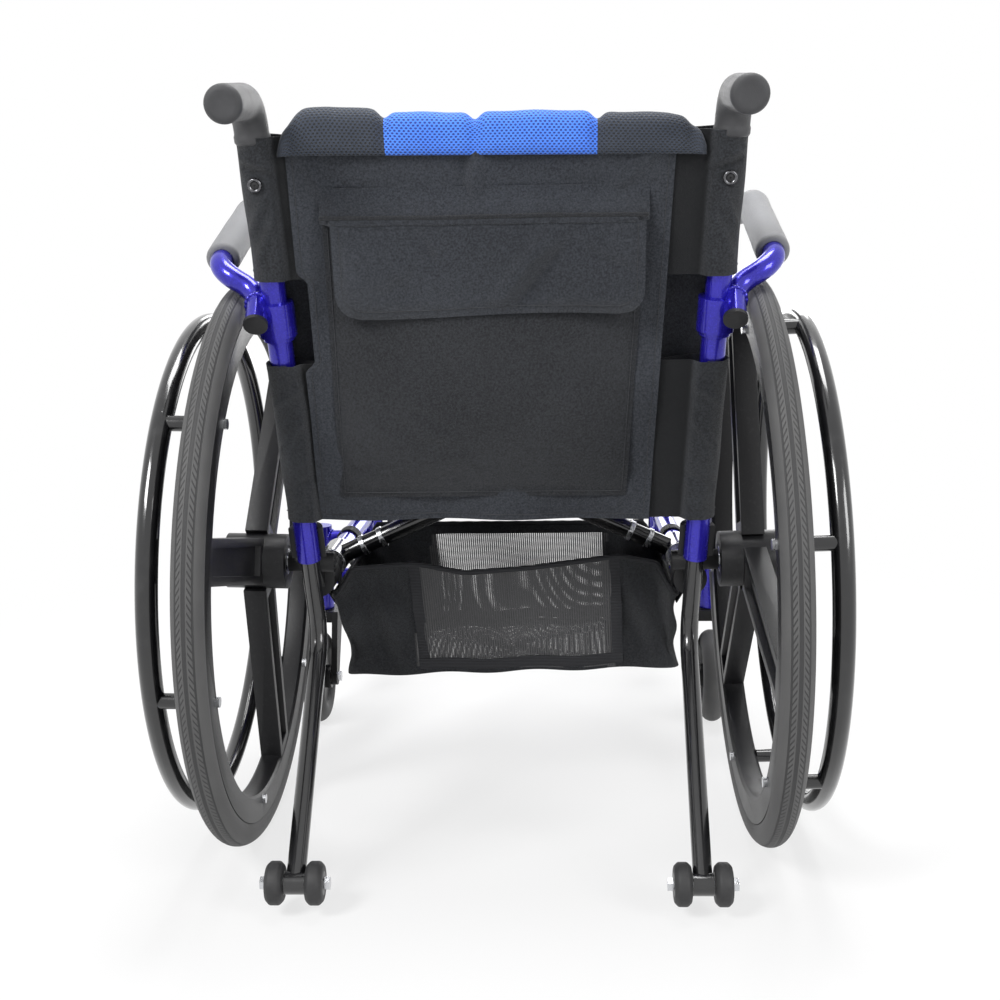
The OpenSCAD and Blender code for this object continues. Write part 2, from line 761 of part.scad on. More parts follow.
// An arm from its collar on one lower rail to the other side's seat rail
module brace_arm(side, shift) {
    y = brace_ahead + shift;
    color([0.09, 0.09, 0.10]) place(side) difference() {
        union() {
            rod([frame_x, y, lower_z], [-frame_x, y, seat_rail_z], arm_tube);
            translate([frame_x, y + collar_len / 2, lower_z]) rotate([90, 0, 0])
                cylinder(h = collar_len, d = frame_tube + 2 * collar_wall);
            translate([0, y + arm_step - running, brace_mid.z]) rotate([90, 0, 0])
                cylinder(h = 2 * (arm_step - running), d = brace_boss_d);
        }
        translate([frame_x, y + collar_len, lower_z]) rotate([90, 0, 0])
            cylinder(h = 2 * collar_len, d = frame_tube + 2 * running);
        translate([-frame_x, y + collar_len, seat_rail_z]) rotate([90, 0, 0])
            cylinder(h = 2 * collar_len, d = seat_rail_tube + 2 * running);
        translate([0, y + collar_len, brace_mid.z]) rotate([90, 0, 0])
            cylinder(h = 2 * collar_len, d = brace_bolt_d + 2 * running);
        // the upper end is cut level, so that the seat's sling lies over it
        translate([-frame_x - seat_rail_tube, y - collar_len, seat_rail_z - lying])
            cube([4 * seat_rail_tube, 2 * collar_len, seat_rail_tube]);
    }
}

module brace_arm_a() {
    brace_arm(left, -arm_step);
}

module brace_arm_b() {
    brace_arm(right, arm_step);
}

module brace_bolt() {
    grip = 2 * arm_step;
    color([0.66, 0.67, 0.69]) place(right) translate([0, brace_ahead, brace_mid.z]) rotate([90, 0, 0]) {
        translate([0, 0, -grip]) cylinder(h = 2 * grip, d = brace_bolt_d);
        for (z = [-grip - nut_t, grip])
            translate([0, 0, z]) cylinder(h = nut_t, d = nut_wide * brace_bolt_d, $fn = 6);
    }
}

module seat_rail(side) {
    color([0.12, 0.12, 0.13]) place(side)
        rod([frame_x, -seat_rail_back, seat_rail_z], [frame_x, seat_rail_front, seat_rail_z], seat_rail_tube);
}

// The cups on the upper side rail in which a seat rail comes down
module rail_saddles(side) {
    color([0.08, 0.08, 0.08]) place(side) for (y = saddles_at) difference() {
        translate([frame_x - saddle_w / 2, y, upper_z + saddle_low])
            cube([saddle_w, saddle_len, seat_rail_z - upper_z - saddle_low - saddle_high]);
        rod([frame_x, y - cut_lap, upper_z], [frame_x, y + saddle_len + cut_lap, upper_z],
            frame_tube + 2 * seated);
        rod([frame_x, y - cut_lap, seat_rail_z], [frame_x, y + saddle_len + cut_lap, seat_rail_z],
            seat_rail_tube + 2 * lying);
    }
}

// Arms

arm_pivot = cane_at(arm_collar_z);
// The arm tube starts behind the collar, climbs between the cane and the tyre and then leans out
arm_path = [
    arm_pivot + [arm_out, -arm_tail, -arm_tail_drop],
    arm_pivot + arm_knee,
    [arm_x + arm_elbow.x, arm_pivot.y + arm_elbow.y, arm_elbow_z],
    [arm_x, arm_pivot.y + arm_crest, arm_z],
    [arm_x, arm_front, arm_z]
];

module armrest(side) {
    color(frame_blue) place(side) difference() {
        union() {
            bent_tube(arm_path, armrest_tube, arm_bend);
            rod(arm_pivot - arm_collar_h / 2 * cane_dir, arm_pivot + arm_collar_h / 2 * cane_dir,
                frame_tube + 2 * arm_collar_wall);
        }
        rod(arm_pivot - arm_collar_h * cane_dir, arm_pivot + arm_collar_h * cane_dir,
            frame_tube + 2 * running);
    }
}

module arm_pad(side) {
    rise = unit(arm_path[3] - arm_path[2]);
    pad_start = arm_path[2] + rise * (corner_cut(arm_path[1], arm_path[2], arm_path[3], arm_bend) + pad_bare);
    color([0.14, 0.14, 0.15]) place(side) difference() {
        bent_tube([pad_start, arm_path[3], arm_path[4] + [0, pad_end_t, 0]], pad_d, arm_bend);
        bent_tube([pad_start - rise, arm_path[3], arm_path[4]], armrest_tube + 2 * seated, arm_bend);
    }
}

module arm_plug(side) {
    back = unit(arm_path[0] - arm_path[1]);
    color([0.07, 0.07, 0.07]) place(side)
        rod(arm_path[0], arm_path[0] + plug_t * back, armrest_tube + plug_over);
}

// Anti-tip wheels

tip_low = [tip_x, -tip_back, tip_axle_z];
tip_pair_w = tip_tube + side_gap;

module anti_tip_tube(side) {
    color([0.06, 0.06, 0.06]) place(side) difference() {
        union() {
            bent_tube([cane_at(cane_foot_z) + tip_insert * cane_dir, cane_at(tip_bend_z), tip_low],
                tip_tube, tip_bend);
            translate(tip_low - [tip_pair_w / 2, 0, 0]) rotate([0, 90, 0])
                cylinder(h = tip_pair_w, d = tip_tube + 2 * tip_boss_wall);
        }
        translate(tip_low - [tip_x / 2, 0, 0]) rotate([0, 90, 0])
            cylinder(h = tip_x, d = tip_axle_d + 2 * seated);
    }
}

module anti_tip_axle(side) {
    half = tip_pair_w / 2 + tip_wheel_w + 2 * side_gap;
    color([0.72, 0.73, 0.75]) place(side) translate(tip_low) rotate([0, 90, 0]) {
        translate([0, 0, -half]) cylinder(h = 2 * half, d = tip_axle_d);
        for (z = [-half - nut_t, half])
            translate([0, 0, z]) cylinder(h = nut_t, d = nut_wide * tip_axle_d, $fn = 6);
    }
}

module anti_tip_wheels(side) {
    bore = tip_axle_d / 2 + running;
    rim = tip_wheel_d / 2;
    half = tip_wheel_w / 2;
    color([0.10, 0.10, 0.10]) place(side) translate(tip_low) rotate([0, 90, 0])
        for (s = [-1, 1]) translate([0, 0, s * (tip_pair_w / 2 + half + side_gap)]) rotate_extrude() polygon([
            [bore, -half], [rim - tip_chamfer, -half], [rim, -half + tip_chamfer],
            [rim, half - tip_chamfer], [rim - tip_chamfer, half], [bore, half]
        ]);
}

// Wheel locks

lock_at = [frame_x, lock_ahead, lock_z];
lever_x = frame_tube / 2 + lever_out;
ear_x = frame_tube / 2 + lying;

module lock_bracket(side) {
    color([0.12, 0.12, 0.13]) place(side) difference() {
        union() {
            rod([frame_x, lock_ahead - lock_clamp_len / 2, upper_z],
                [frame_x, lock_ahead + lock_clamp_len / 2, upper_z], frame_tube + 2 * lock_clamp_wall);
            translate(lock_at + [ear_x, 0, 0]) rotate([0, 90, 0]) {
                cylinder(h = lock_ear_t + lock_clamp_wall - lying, d = lock_ear_d);
                cylinder(h = lever_x - ear_x + lever_t / 2 + lock_clamp_wall, d = lock_pin_d);
            }
        }
        rod([frame_x, lock_ahead - lock_clamp_len, upper_z], [frame_x, lock_ahead + lock_clamp_len, upper_z],
            frame_tube + 2 * seated);
    }
}

// The lever at rest with its lock open, its shoe just clear of the tyre
module lock_lever(side) {
    shoe = lock_arm * [0, -cos(shoe_dip), -sin(shoe_dip)];
    color([0.62, 0.63, 0.65]) place(side) translate(lock_at + [lever_x, 0, 0]) difference() {
        union() {
            rotate([0, 90, 0]) cylinder(h = lever_t, d = lever_eye_d, center = true);
            rotate([shoe_dip - 180, 0, 0]) translate([-lever_t / 2, 0, -lever_w / 2])
                cube([lever_t, lock_arm, lever_w]);
            translate(shoe - [lever_t / 2, 0, 0]) rotate([0, 90, 0])
                cylinder(h = wheel_x + tyre_w / 2 - frame_x - lever_x, d = shoe_d);
            translate([-lever_t / 2, -lever_w / 2, 0]) cube([lever_t, lever_w, lever_len - knob_d]);
            translate([0, 0, lever_len - 2 * knob_d]) cylinder(h = 2 * knob_d, d = knob_d);
        }
        rotate([0, 90, 0]) cylinder(h = 4 * lever_t, d = lock_pin_d + 2 * running, center = true);
    }
}

// Footplates

// A footplate stowed upright against its hanger
module footplate(side) {
    knuckle = plate_bar_d + 2 * knuckle_wall;
    lug_room = lug_len + 2 * lying;
    color([0.14, 0.14, 0.15]) place(side) translate([plate_x, plate_y, hanger_low_z])
        rotate([0, plate_up, 0]) difference() {
            union() {
                rotate([90, 0, 0]) cylinder(h = plate_len, d = knuckle, center = true);
                translate([-plate_w, -plate_len / 2, -plate_t / 2]) cube([plate_w, plate_len, plate_t]);
            }
            rotate([90, 0, 0]) cylinder(h = 2 * plate_len, d = plate_bar_d + 2 * running, center = true);
            translate([-knuckle, hanger_low_y - plate_y - lug_room / 2, -knuckle])
                cube([2 * knuckle, lug_room, 2 * knuckle]);
        }
}

// Back

// The run of one cane between two heights, for the sleeves and for cutting round it
module cane_run(low_z, high_z, d) {
    rod(cane_at(low_z), cane_at(high_z), d);
}

// A flat sheet between the canes, from one height to another, a distance ahead of their plane
module back_sheet(low_z, high_z, ahead, thick, edge) {
    low = back_h(low_z);
    high = back_h(high_z);
    on_back() translate([0, ahead + thick / 2, 0]) rotate([90, 0, 0]) linear_extrude(thick) polygon([
        [-cane_x(low) + edge, low], [cane_x(low) - edge, low],
        [cane_x(high) - edge, high], [-cane_x(high) + edge, high]
    ]);
}

// The rear panel leaves room for the arms, and a front layer closes the back behind that room
module back_upholstery() {
    front_t = sleeve_wall - front_thin;
    color(cloth_black) difference() {
        union() {
            for (side = [left, right]) place(side) {
                cane_run(back_low_z, sleeve_low_z, sleeve_d);
                cane_run(sleeve_high_z, back_top_z, sleeve_d);
            }
            difference() {
                place(right) back_sheet(back_low_z, back_top_z, -panel_back, back_t, frame_tube / 2 - cut_lap);
                for (side = [left, right]) place(side)
                    cane_run(sleeve_low_z + gap_hem, sleeve_high_z - gap_hem, 2 * arm_room);
            }
            difference() {
                place(right) back_sheet(sleeve_low_z - front_lap, sleeve_high_z + front_lap,
                    frame_tube / 2 + lying + sleeve_wall / 2, front_t, 0);
                for (side = [left, right]) place(side) cane_run(sleeve_low_z + gap_hem, sleeve_high_z - gap_hem,
                    frame_tube + 2 * (arm_collar_wall + gap_hem));
            }
        }
        for (side = [left, right]) place(side) {
            cane_run(back_low_z - sleeve_d, back_top_z + sleeve_d, frame_tube + 2 * lying);
            translate([frame_x - saddle_w / 2, cane_at(upper_z).y, upper_z - frame_tube / 2 - gap_hem])
                cube([saddle_w, 2 * frame_tube, frame_tube + 2 * gap_hem]);
        }
    }
}

// The mesh cushion: turned over the panel's top, crowned, pinched at its seams and drawn in at its ends
cushion_steps = 28;
cushion_turn = 8;
seam_shares = [0.02, 0.222, 0.464, 0.758, 0.98];
pinch_share = 0.018;
pinch_ratio = 0.30;
cushion_crown = 9;
cushion_lift = 3;
draw_ratio = 0.1;
function cushion_pinch(u) = 1 - pinch_ratio * max([for (c = seam_shares) exp(-((u - c) / pinch_share) ^ 2)]);
function cushion_ring(u, grow) =
    let (
        x = (u - 0.5) * cushion_w,
        draw = 1 - draw_ratio * (1 - sin(180 * u)),
        r = back_t / 2 + lying + grow * cushion_t * cushion_pinch(u),
        top = back_h(back_top_z) + cushion_lift + cushion_crown * (1 - (2 * u - 1) ^ 8)
    )
    concat(
        [for (f = [0, 0.5]) [x, -panel_back - r, top - cushion_fall * draw * (1 - f)]],
        [for (i = [0 : cushion_turn]) let (a = 180 * i / cushion_turn)
            [x, -panel_back - r * cos(a), top + r * sin(a)]],
        [for (f = [0.35, 0.7, 1]) [x, -panel_back + r, top - cushion_front * draw * f]]
    );

module back_cushion() {
    steps = [for (i = [0 : cushion_steps]) i / cushion_steps];
    color([0.10, 0.32, 0.78]) place(right) on_back()
        padded([for (u = steps) cushion_ring(u, 1)], [for (u = steps) cushion_ring(u, 0)]);
}

// A soft sheet on the back of the panel: flat in front, swollen behind, thin at its sewn edges
function swell(u, v) = sqrt(max(0, (1 - (2 * u - 1) ^ 4) * (1 - (2 * v - 1) ^ 4)));
sheet_cols = 16;
sheet_rows = 12;
function sheet_grid(low_z, high_z, low_w, high_w, skin, edge, bulge) =
    [for (i = [0 : sheet_cols]) let (u = i / sheet_cols) [for (j = [0 : sheet_rows])
        let (v = j / sheet_rows, w = low_w + (high_w - low_w) * v)
        [(u - 0.5) * w, -skin - edge - bulge * swell(u, v), back_h(low_z) + v * (back_h(high_z) - back_h(low_z))]]];

pocket_skin = panel_back + back_t / 2 + lying;
pocket_hem = 3;
flap_swell = 3;
flap_inset = 3;
module back_pocket() {
    color(cloth_black) place(right) on_back() padded(
        sheet_grid(pocket_low_z, pocket_top_z, pocket_foot_w, pocket_w, pocket_skin, pocket_hem, pocket_bulge),
        sheet_grid(pocket_low_z, pocket_top_z, pocket_foot_w, pocket_w, pocket_skin, 0, 0));
}

flap_skin = pocket_skin + pocket_hem + pocket_bulge + lying;
module pocket_flap() {
    flap_w = pocket_w - 2 * flap_inset;
    color(cloth_black) place(right) on_back() padded(
        sheet_grid(flap_low_z, pocket_top_z, flap_w, flap_w, flap_skin, flap_t, flap_swell),
        sheet_grid(flap_low_z, pocket_top_z, flap_w, flap_w, flap_skin, 0, 0));
}

screw_t = 3;
module sleeve_screws(side) {
    at = cane_at(screw_z);
    back = unit(cross(cane_dir, [1, 0, 0])) * -1;
    color([0.70, 0.71, 0.73]) place(side)
        rod(at + (sleeve_d / 2 + lying) * back, at + (sleeve_d / 2 + lying + screw_t) * back, screw_d);
}

// Seat and bag

// The sling's edges lie over the seat rails and its middle sags between them
sling_rise = 4;
sling_in = 5;
sling_steps = 16;
module seat_sling() {
    out = seat_rail_tube / 2 + lying + sling_t;
    span = frame_x - out + sling_t;
    function sag(x) = seat_rail_z + sling_rise - sling_sag * (1 - (x / span) ^ 2);
    xs = [for (i = [0 : sling_steps]) span * (2 * i / sling_steps - 1)];
    color(cloth_black) place(right) translate([0, seat_rail_front - sling_in, 0]) rotate([90, 0, 0])
        linear_extrude(seat_rail_front + seat_rail_back - 2 * sling_in) {
            polygon(concat(
                [for (x = xs) [x, sag(x) - sling_t / 2]],
                [for (i = [sling_steps : -1 : 0]) [xs[i], sag(xs[i]) + sling_t / 2]]));
            for (s = [-1, 1]) translate([s * frame_x, seat_rail_z]) intersection() {
                difference() {
                    circle(r = out);
                    circle(r = out - sling_t);
                }
                translate([-2 * out, 0]) square([4 * out, 2 * out]);
            }
        }
}

// An open-topped net bag hung by four loops on the lower rails
loops_at = [36, 199];
loop_w = 24;
loop_lap = 10;
module under_seat_bag() {
    loop_d = frame_tube + 2 * (lying + bag_t);
    y0 = bag_ahead;
    y1 = bag_ahead + bag_len;
    color([0.30, 0.31, 0.33]) place(right) difference() {
        union() {
            translate([-bag_w / 2, y0, bag_z]) cube([bag_w, bag_len, bag_side_z - bag_z]);
            translate([-bag_mouth_w / 2, y0, bag_z]) cube([bag_mouth_w, bag_t, bag_top_z - bag_z]);
            for (s = [-1, 1], y = loops_at) translate([0, y0 + y + loop_w / 2, 0]) {
                translate([s * frame_x, 0, lower_z]) rotate([90, 0, 0]) cylinder(h = loop_w, d = loop_d);
                translate([s * (bag_w / 2 - 2 * bag_t) - 2 * bag_t, -loop_w, bag_side_z - loop_lap])
                    cube([4 * bag_t, loop_w, lower_z - bag_side_z + loop_lap]);
            }
        }
        translate([-bag_w / 2 + bag_t, y0 + bag_t, bag_z + bag_t])
            cube([bag_w - 2 * bag_t, bag_len - 2 * bag_t, bag_top_z]);
        for (s = [-1, 1]) rod([s * frame_x, y0 - cut_lap, lower_z], [s * frame_x, y1 + cut_lap, lower_z],
            frame_tube + 2 * lying);
    }
}

side_frame(left);  // side_frame_left
side_frame(right);  // side_frame_right
push_grip(left);  // push_grip_left
push_grip(right);  // push_grip_right
axle_bracket(left);  // axle_bracket_left
axle_bracket(right);  // axle_bracket_right
axle(left);  // axle_left
axle(right);  // axle_right
axle_button(left);  // axle_button_left
axle_button(right);  // axle_button_right
drive_wheel(left);  // drive_wheel_left
drive_wheel(right);  // drive_wheel_right
drive_tyre(left);  // drive_tyre_left
drive_tyre(right);  // drive_tyre_right
handrim(left);  // handrim_left
handrim(right);  // handrim_right
handrim_bolts(left);  // handrim_bolts_left
handrim_bolts(right);  // handrim_bolts_right
hub_bearings(left);  // hub_bearings_left
hub_bearings(right);  // hub_bearings_right
caster_fork(left);  // caster_fork_left
caster_fork(right);  // caster_fork_right
caster_wheel(left);  // caster_wheel_left
caster_wheel(right);  // caster_wheel_right
caster_axle(left);  // caster_axle_left
caster_axle(right);  // caster_axle_right
armrest(left);  // armrest_left
armrest(right);  // armrest_right
arm_pad(left);  // arm_pad_left
arm_pad(right);  // arm_pad_right
arm_plug(left);  // arm_plug_left
arm_plug(right);  // arm_plug_right
anti_tip_tube(left);  // anti_tip_tube_left
anti_tip_tube(right);  // anti_tip_tube_right
anti_tip_axle(left);  // anti_tip_axle_left
anti_tip_axle(right);  // anti_tip_axle_right
anti_tip_wheels(left);  // anti_tip_wheels_left
anti_tip_wheels(right);  // anti_tip_wheels_right
lock_bracket(left);  // lock_bracket_left
lock_bracket(right);  // lock_bracket_right
lock_lever(left);  // lock_lever_left
lock_lever(right);  // lock_lever_right
footplate(left);  // footplate_left
footplate(right);  // footplate_right
seat_rail(left);  // seat_rail_left
seat_rail(right);  // seat_rail_right
rail_saddles(left);  // rail_saddles_left
rail_saddles(right);  // rail_saddles_right
sleeve_screws(left);  // sleeve_screws_left
sleeve_screws(right);  // sleeve_screws_right
brace_arm_a();
brace_arm_b();
brace_bolt();
back_upholstery();
back_cushion();
back_pocket();
pocket_flap();
seat_sling();
under_seat_bag();
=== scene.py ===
import math

import bpy
import numpy as np
from mathutils import Matrix, Vector


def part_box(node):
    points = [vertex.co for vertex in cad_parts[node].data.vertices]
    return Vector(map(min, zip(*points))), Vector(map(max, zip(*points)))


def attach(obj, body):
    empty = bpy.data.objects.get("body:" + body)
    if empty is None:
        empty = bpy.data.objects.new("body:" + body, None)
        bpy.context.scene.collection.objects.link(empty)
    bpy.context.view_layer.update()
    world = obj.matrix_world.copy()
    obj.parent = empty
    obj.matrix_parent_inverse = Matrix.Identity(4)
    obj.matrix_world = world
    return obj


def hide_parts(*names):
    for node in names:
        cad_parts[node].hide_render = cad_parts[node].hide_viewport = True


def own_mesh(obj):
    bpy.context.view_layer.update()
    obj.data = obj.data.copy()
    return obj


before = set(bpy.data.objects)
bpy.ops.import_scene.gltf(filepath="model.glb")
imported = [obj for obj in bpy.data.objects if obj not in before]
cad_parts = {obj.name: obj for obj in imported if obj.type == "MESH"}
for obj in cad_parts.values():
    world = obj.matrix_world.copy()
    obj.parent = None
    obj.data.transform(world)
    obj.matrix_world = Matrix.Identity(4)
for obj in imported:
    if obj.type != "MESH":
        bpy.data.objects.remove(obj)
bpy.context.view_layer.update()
bpy.ops.object.select_all(action="DESELECT")

# The chair is seen from behind, from a little right of its middle and about as high as the pocket,
# so that the ends of the push grips and the insides of both drive wheels show.
eye = Vector((0.05672, -1.60987, 0.62327))
yaw, pitch, roll = -0.0401, -0.172, -0.0145
film, lens_per_film = 36, 1.3629
ahead = Vector((math.sin(yaw) * math.cos(pitch), math.cos(yaw) * math.cos(pitch), math.sin(pitch)))
level = Vector((math.cos(yaw), -math.sin(yaw), 0))
over = level.cross(ahead)
aside = level * math.cos(roll) + over * math.sin(roll)
upward = over * math.cos(roll) - level * math.sin(roll)
bpy.ops.object.camera_add()
camera = bpy.context.object
camera.matrix_world = Matrix.Translation(eye) @ Matrix((aside, upward, -ahead)).transposed().to_4x4()
camera.data.sensor_width = film
camera.data.lens = film * lens_per_film
camera.data.clip_end = 60
bpy.context.scene.camera = camera
bpy.context.scene.view_settings.view_transform = "Standard"


# The studio: a pale floor that keeps the chair's shadow, a white room, and four broad soft lamps,
# two behind the camera, one overhead and a weak one from the front that shines through the nets.
class Wire:
    """The output of a node. Arithmetic on it adds Math nodes, and add() adds any other node."""

    def __init__(self, tree, socket):
        self.tree, self.socket = tree, socket

    def add(self, kind, settings, inputs, out=0):
        node = self.tree.nodes.new("ShaderNode" + kind)
        for name, value in settings.items():
            setattr(node, name, value)
        for name, value in inputs.items():
            if isinstance(value, Wire):
                value.to(node, name)
            else:
                node.inputs[name].default_value = value
        return Wire(self.tree, node.outputs[out])

    def to(self, node, socket):
        self.tree.links.new(self.socket, node.inputs[socket])

    def maths(self, operation, *others):
        return self.add("Math", {"operation": operation}, dict(enumerate((self, *others))))

    def vector(self, operation, *others, out=0):
        return self.add("VectorMath", {"operation": operation}, dict(enumerate((self, *others))), out)

    def part(self, axis):
        return self.add("SeparateXYZ", {}, {"Vector": self}, axis)

    def __add__(self, other):
        return self.maths("ADD", other)

    def __sub__(self, other):
        return self.maths("SUBTRACT", other)

    def __rsub__(self, other):
        return (self * -1.0).maths("ADD", other)

    def __mul__(self, other):
        return self.maths("MULTIPLY", other)

    __radd__, __rmul__ = __add__, __mul__

    def rise(self, low, high):
        """0 below low, 1 above high, smooth between them."""
        return self.add("MapRange", {"interpolation_type": "SMOOTHSTEP"},
                        {"Value": self, "From Min": low, "From Max": high})

    def mix(self, first, second):
        """The first colour where this is 0, the second where it is 1."""
        first, second = (c if isinstance(c, Wire) else (*c, 1) for c in (first, second))
        return self.add("Mix", {"data_type": "RGBA"}, {0: self, 6: first, 7: second}, 2)


def seen_rays(tree):
    """1 for the rays that show a background: from the camera, off gloss and through nets."""
    rays = tree.nodes.new("ShaderNodeLightPath")
    direct = Wire(tree, rays.outputs["Is Camera Ray"])
    for name in ("Is Glossy Ray", "Is Transmission Ray"):
        direct = direct.maths("MAXIMUM", Wire(tree, rays.outputs[name]))
    return direct


room = bpy.data.worlds.new("white_room")
bpy.context.scene.world = room
room.use_nodes = True
sky = room.node_tree.nodes["Background"]
sky.inputs["Color"].default_value = (1, 1, 1, 1)
(seen_rays(room.node_tree) * 0.68 + 0.32).to(sky, "Strength")

bpy.ops.mesh.primitive_plane_add(size=14)
floor = bpy.context.object
floor.name = "floor"
pale = bpy.data.materials.new("pale_floor")
pale.use_nodes = True
tree = pale.node_tree
tree.nodes.remove(tree.nodes["Principled BSDF"])
spot = Wire(tree, tree.nodes.new("ShaderNodeTexCoord").outputs["Object"])
matt = spot.add("BsdfDiffuse", {}, {"Color": (0.86, 0.86, 0.86, 1)})
glow = spot.add("Emission", {}, {})
white = seen_rays(tree) * (0.72 + 0.28 * spot.vector("LENGTH", out="Value").rise(0.5, 1.3))
spot.add("MixShader", {}, {"Fac": white, 1: matt, 2: glow}).to(tree.nodes["Material Output"], "Surface")
floor.data.materials.append(pale)

for name, place, aim, size, power in (
        ("key_lamp", (-1.9, -2.3, 2.5), (0, -0.1, 0.45), 1.0, 84),
        ("fill_lamp", (2.2, -2.0, 1.5), (0, -0.1, 0.45), 1.1, 36),
        ("top_lamp", (0.1, 0.3, 3.0), (0, 0, 0.4), 1.2, 56),
        ("front_lamp", (0.3, 2.6, 1.2), (0, 0, 0.4), 1.8, 34)):
    bpy.ops.object.light_add(type="AREA", location=place)
    lamp = bpy.context.object
    lamp.name = name
    lamp.data.size = size
    lamp.data.energy = power
    lamp.rotation_euler = (Vector(aim) - Vector(place)).to_track_quat("-Z", "Y").to_euler()


# The side frames: round steel tube, bent and welded, in deep blue enamel with fine metal flakes.
# A bead of weld runs round each place where a rail or post meets another tube.
SIDES = (("left", -1.0), ("right", 1.0))
axle_y, rail_x, tube_r = -0.155912, 0.206, 0.0125
cane_low_y, cane_low_z = axle_y - 0.032, 0.313
lean, flare = math.radians(14), math.radians(2.5)


def cane_x(z):
    return rail_x + (z - cane_low_z) * math.tan(flare)


def cane_at(z, side):
    return Vector((side * cane_x(z), cane_low_y - (z - cane_low_z) * math.tan(lean), z))


def pair(*words):
    """The left and right nodes of each word."""
    return [word + "_" + name for word in words for name, _ in SIDES]


def finish(name, **constants):
    """A new material and its Object coordinates."""
    material = bpy.data.materials.new(name)
    material.use_nodes = True
    shader = material.node_tree.nodes["Principled BSDF"]
    for socket, value in constants.items():
        shader.inputs[socket.replace("_", " ").title().replace("Ior", "IOR")].default_value = value
    coords = material.node_tree.nodes.new("ShaderNodeTexCoord")
    return material, Wire(material.node_tree, coords.outputs["Object"])


def noise(at, scale, detail=3.0):
    return at.add("TexNoise", {}, {"Vector": at, "Scale": scale, "Detail": detail})


def cover(material, colour, roughness=None, relief=None, depth=0.0, **others):
    """Feeds what varies over a finish to its shader: its colour, roughness, relief and any others."""
    wires = {"Base Color": colour, "Roughness": roughness, **others}
    if relief:
        wires["Normal"] = relief.add("Bump", {}, {"Strength": 1.0, "Distance": depth, "Height": relief})
    for socket, wire in wires.items():
        if wire:
            wire.to(material.node_tree.nodes["Principled BSDF"], socket)


def dress(material, *nodes):
    for node in nodes:
        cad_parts[node].data.materials.clear()
        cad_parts[node].data.materials.append(material)


def select_only(piece):
    bpy.ops.object.select_all(action="DESELECT")
    piece.select_set(True)
    bpy.context.view_layer.objects.active = piece


def modify(piece, kind, **settings):
    select_only(piece)
    modifier = piece.modifiers.new(kind.lower(), kind)
    for name, value in settings.items():
        setattr(modifier, name, value)
    bpy.ops.object.modifier_apply(modifier=modifier.name)


def points_of(piece):
    flat = np.empty(len(piece.data.vertices) * 3)
    piece.data.vertices.foreach_get("co", flat)
    return flat.reshape(-1, 3)


def uv_of(piece):
    flat = np.empty(len(piece.data.uv_layers.active.data) * 2)
    piece.data.uv_layers.active.data.foreach_get("uv", flat)
    return flat.reshape(-1, 2)


def grid_piece(name, columns, rows, place, joined=False):
    """A grid laid through place(u, v), with a UV map in metres along its longest rows and columns."""
    bpy.ops.object.select_all(action="DESELECT")
    bpy.ops.mesh.primitive_grid_add(x_subdivisions=columns, y_subdivisions=rows, size=2)
    piece = bpy.context.object
    piece.name = piece.data.name = name
    u, v = (points_of(piece)[:, :2].T + 1) / 2
    laid = np.stack(place(u, v), 1)
    piece.data.vertices.foreach_set("co", laid.ravel())
    lattice = laid[np.lexsort((u, v))].reshape(rows + 1, columns + 1, 3)
    cut = [np.linalg.norm(np.diff(lattice, axis=axis), axis=2).sum(axis).max() for axis in (1, 0)]
    piece.data.uv_layers.active.data.foreach_set("uv", (uv_of(piece) * cut).ravel())
    if joined:
        bpy.ops.object.mode_set(mode="EDIT")
        bpy.ops.mesh.select_all(action="SELECT")
        bpy.ops.mesh.remove_doubles(threshold=1e-6)
        bpy.ops.mesh.normals_make_consistent(inside=False)
        bpy.ops.object.mode_set(mode="OBJECT")
    return piece


def fitted(piece, body, slot, *materials, angle=50):
    """Smooth, dressed and riding on its body."""
    select_only(piece)
    bpy.ops.object.shade_smooth_by_angle(angle=math.radians(angle))
    piece.data.materials.clear()
    for material in materials:
        piece.data.materials.append(material)
    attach(piece, body)
    bpy.ops.object.select_all(action="DESELECT")
    return piece


def unit(rows):
    return rows / np.linalg.norm(rows, axis=1)[:, None]


def weld_bead(name, route, body):
    """A rippled bead along a closed route of points."""
    route = np.array(route)
    along = unit(np.roll(route, -1, 0) - np.roll(route, 1, 0))
    out = route - route.mean(0)
    out = unit(out - along * np.sum(out * along, 1)[:, None])
    over = np.cross(along, out)
    bead_r, ripple = 0.0021, 0.16

    def place(u, v):
        i = np.rint(u * len(route)).astype(int) % len(route)
        r = bead_r * (1 + ripple * np.cos(i * math.pi / 2))
        turn = 2 * math.pi * v
        return (route[i] + (r * np.cos(turn))[:, None] * out[i] + (r * np.sin(turn))[:, None] * over[i]).T

    fitted(grid_piece(name, len(route), 8, place, joined=True), body, "frame_blue", enamel)


enamel, at = finish("frame_enamel", metallic=0.5, coat_weight=0.7, coat_roughness=0.02,
                    specular_tint=(0.45, 0.45, 1.0, 1.0))
flake = at.add("TexVoronoi", {}, {"Vector": at, "Scale": 1500.0}, "Color")
flake = flake.add("SeparateColor", {}, {"Color": flake}).rise(0.6, 1.0) * 0.35
paint = noise(at, 14.0).mix((0.012, 0.008, 0.26), (0.026, 0.017, 0.42))
cover(enamel, flake.mix(paint, (0.08, 0.07, 0.80)), 0.20 + 0.12 * noise(at, 90.0), noise(at, 220.0, 1.0), 0.00012)
dress(enamel, *pair("side_frame", "armrest"))

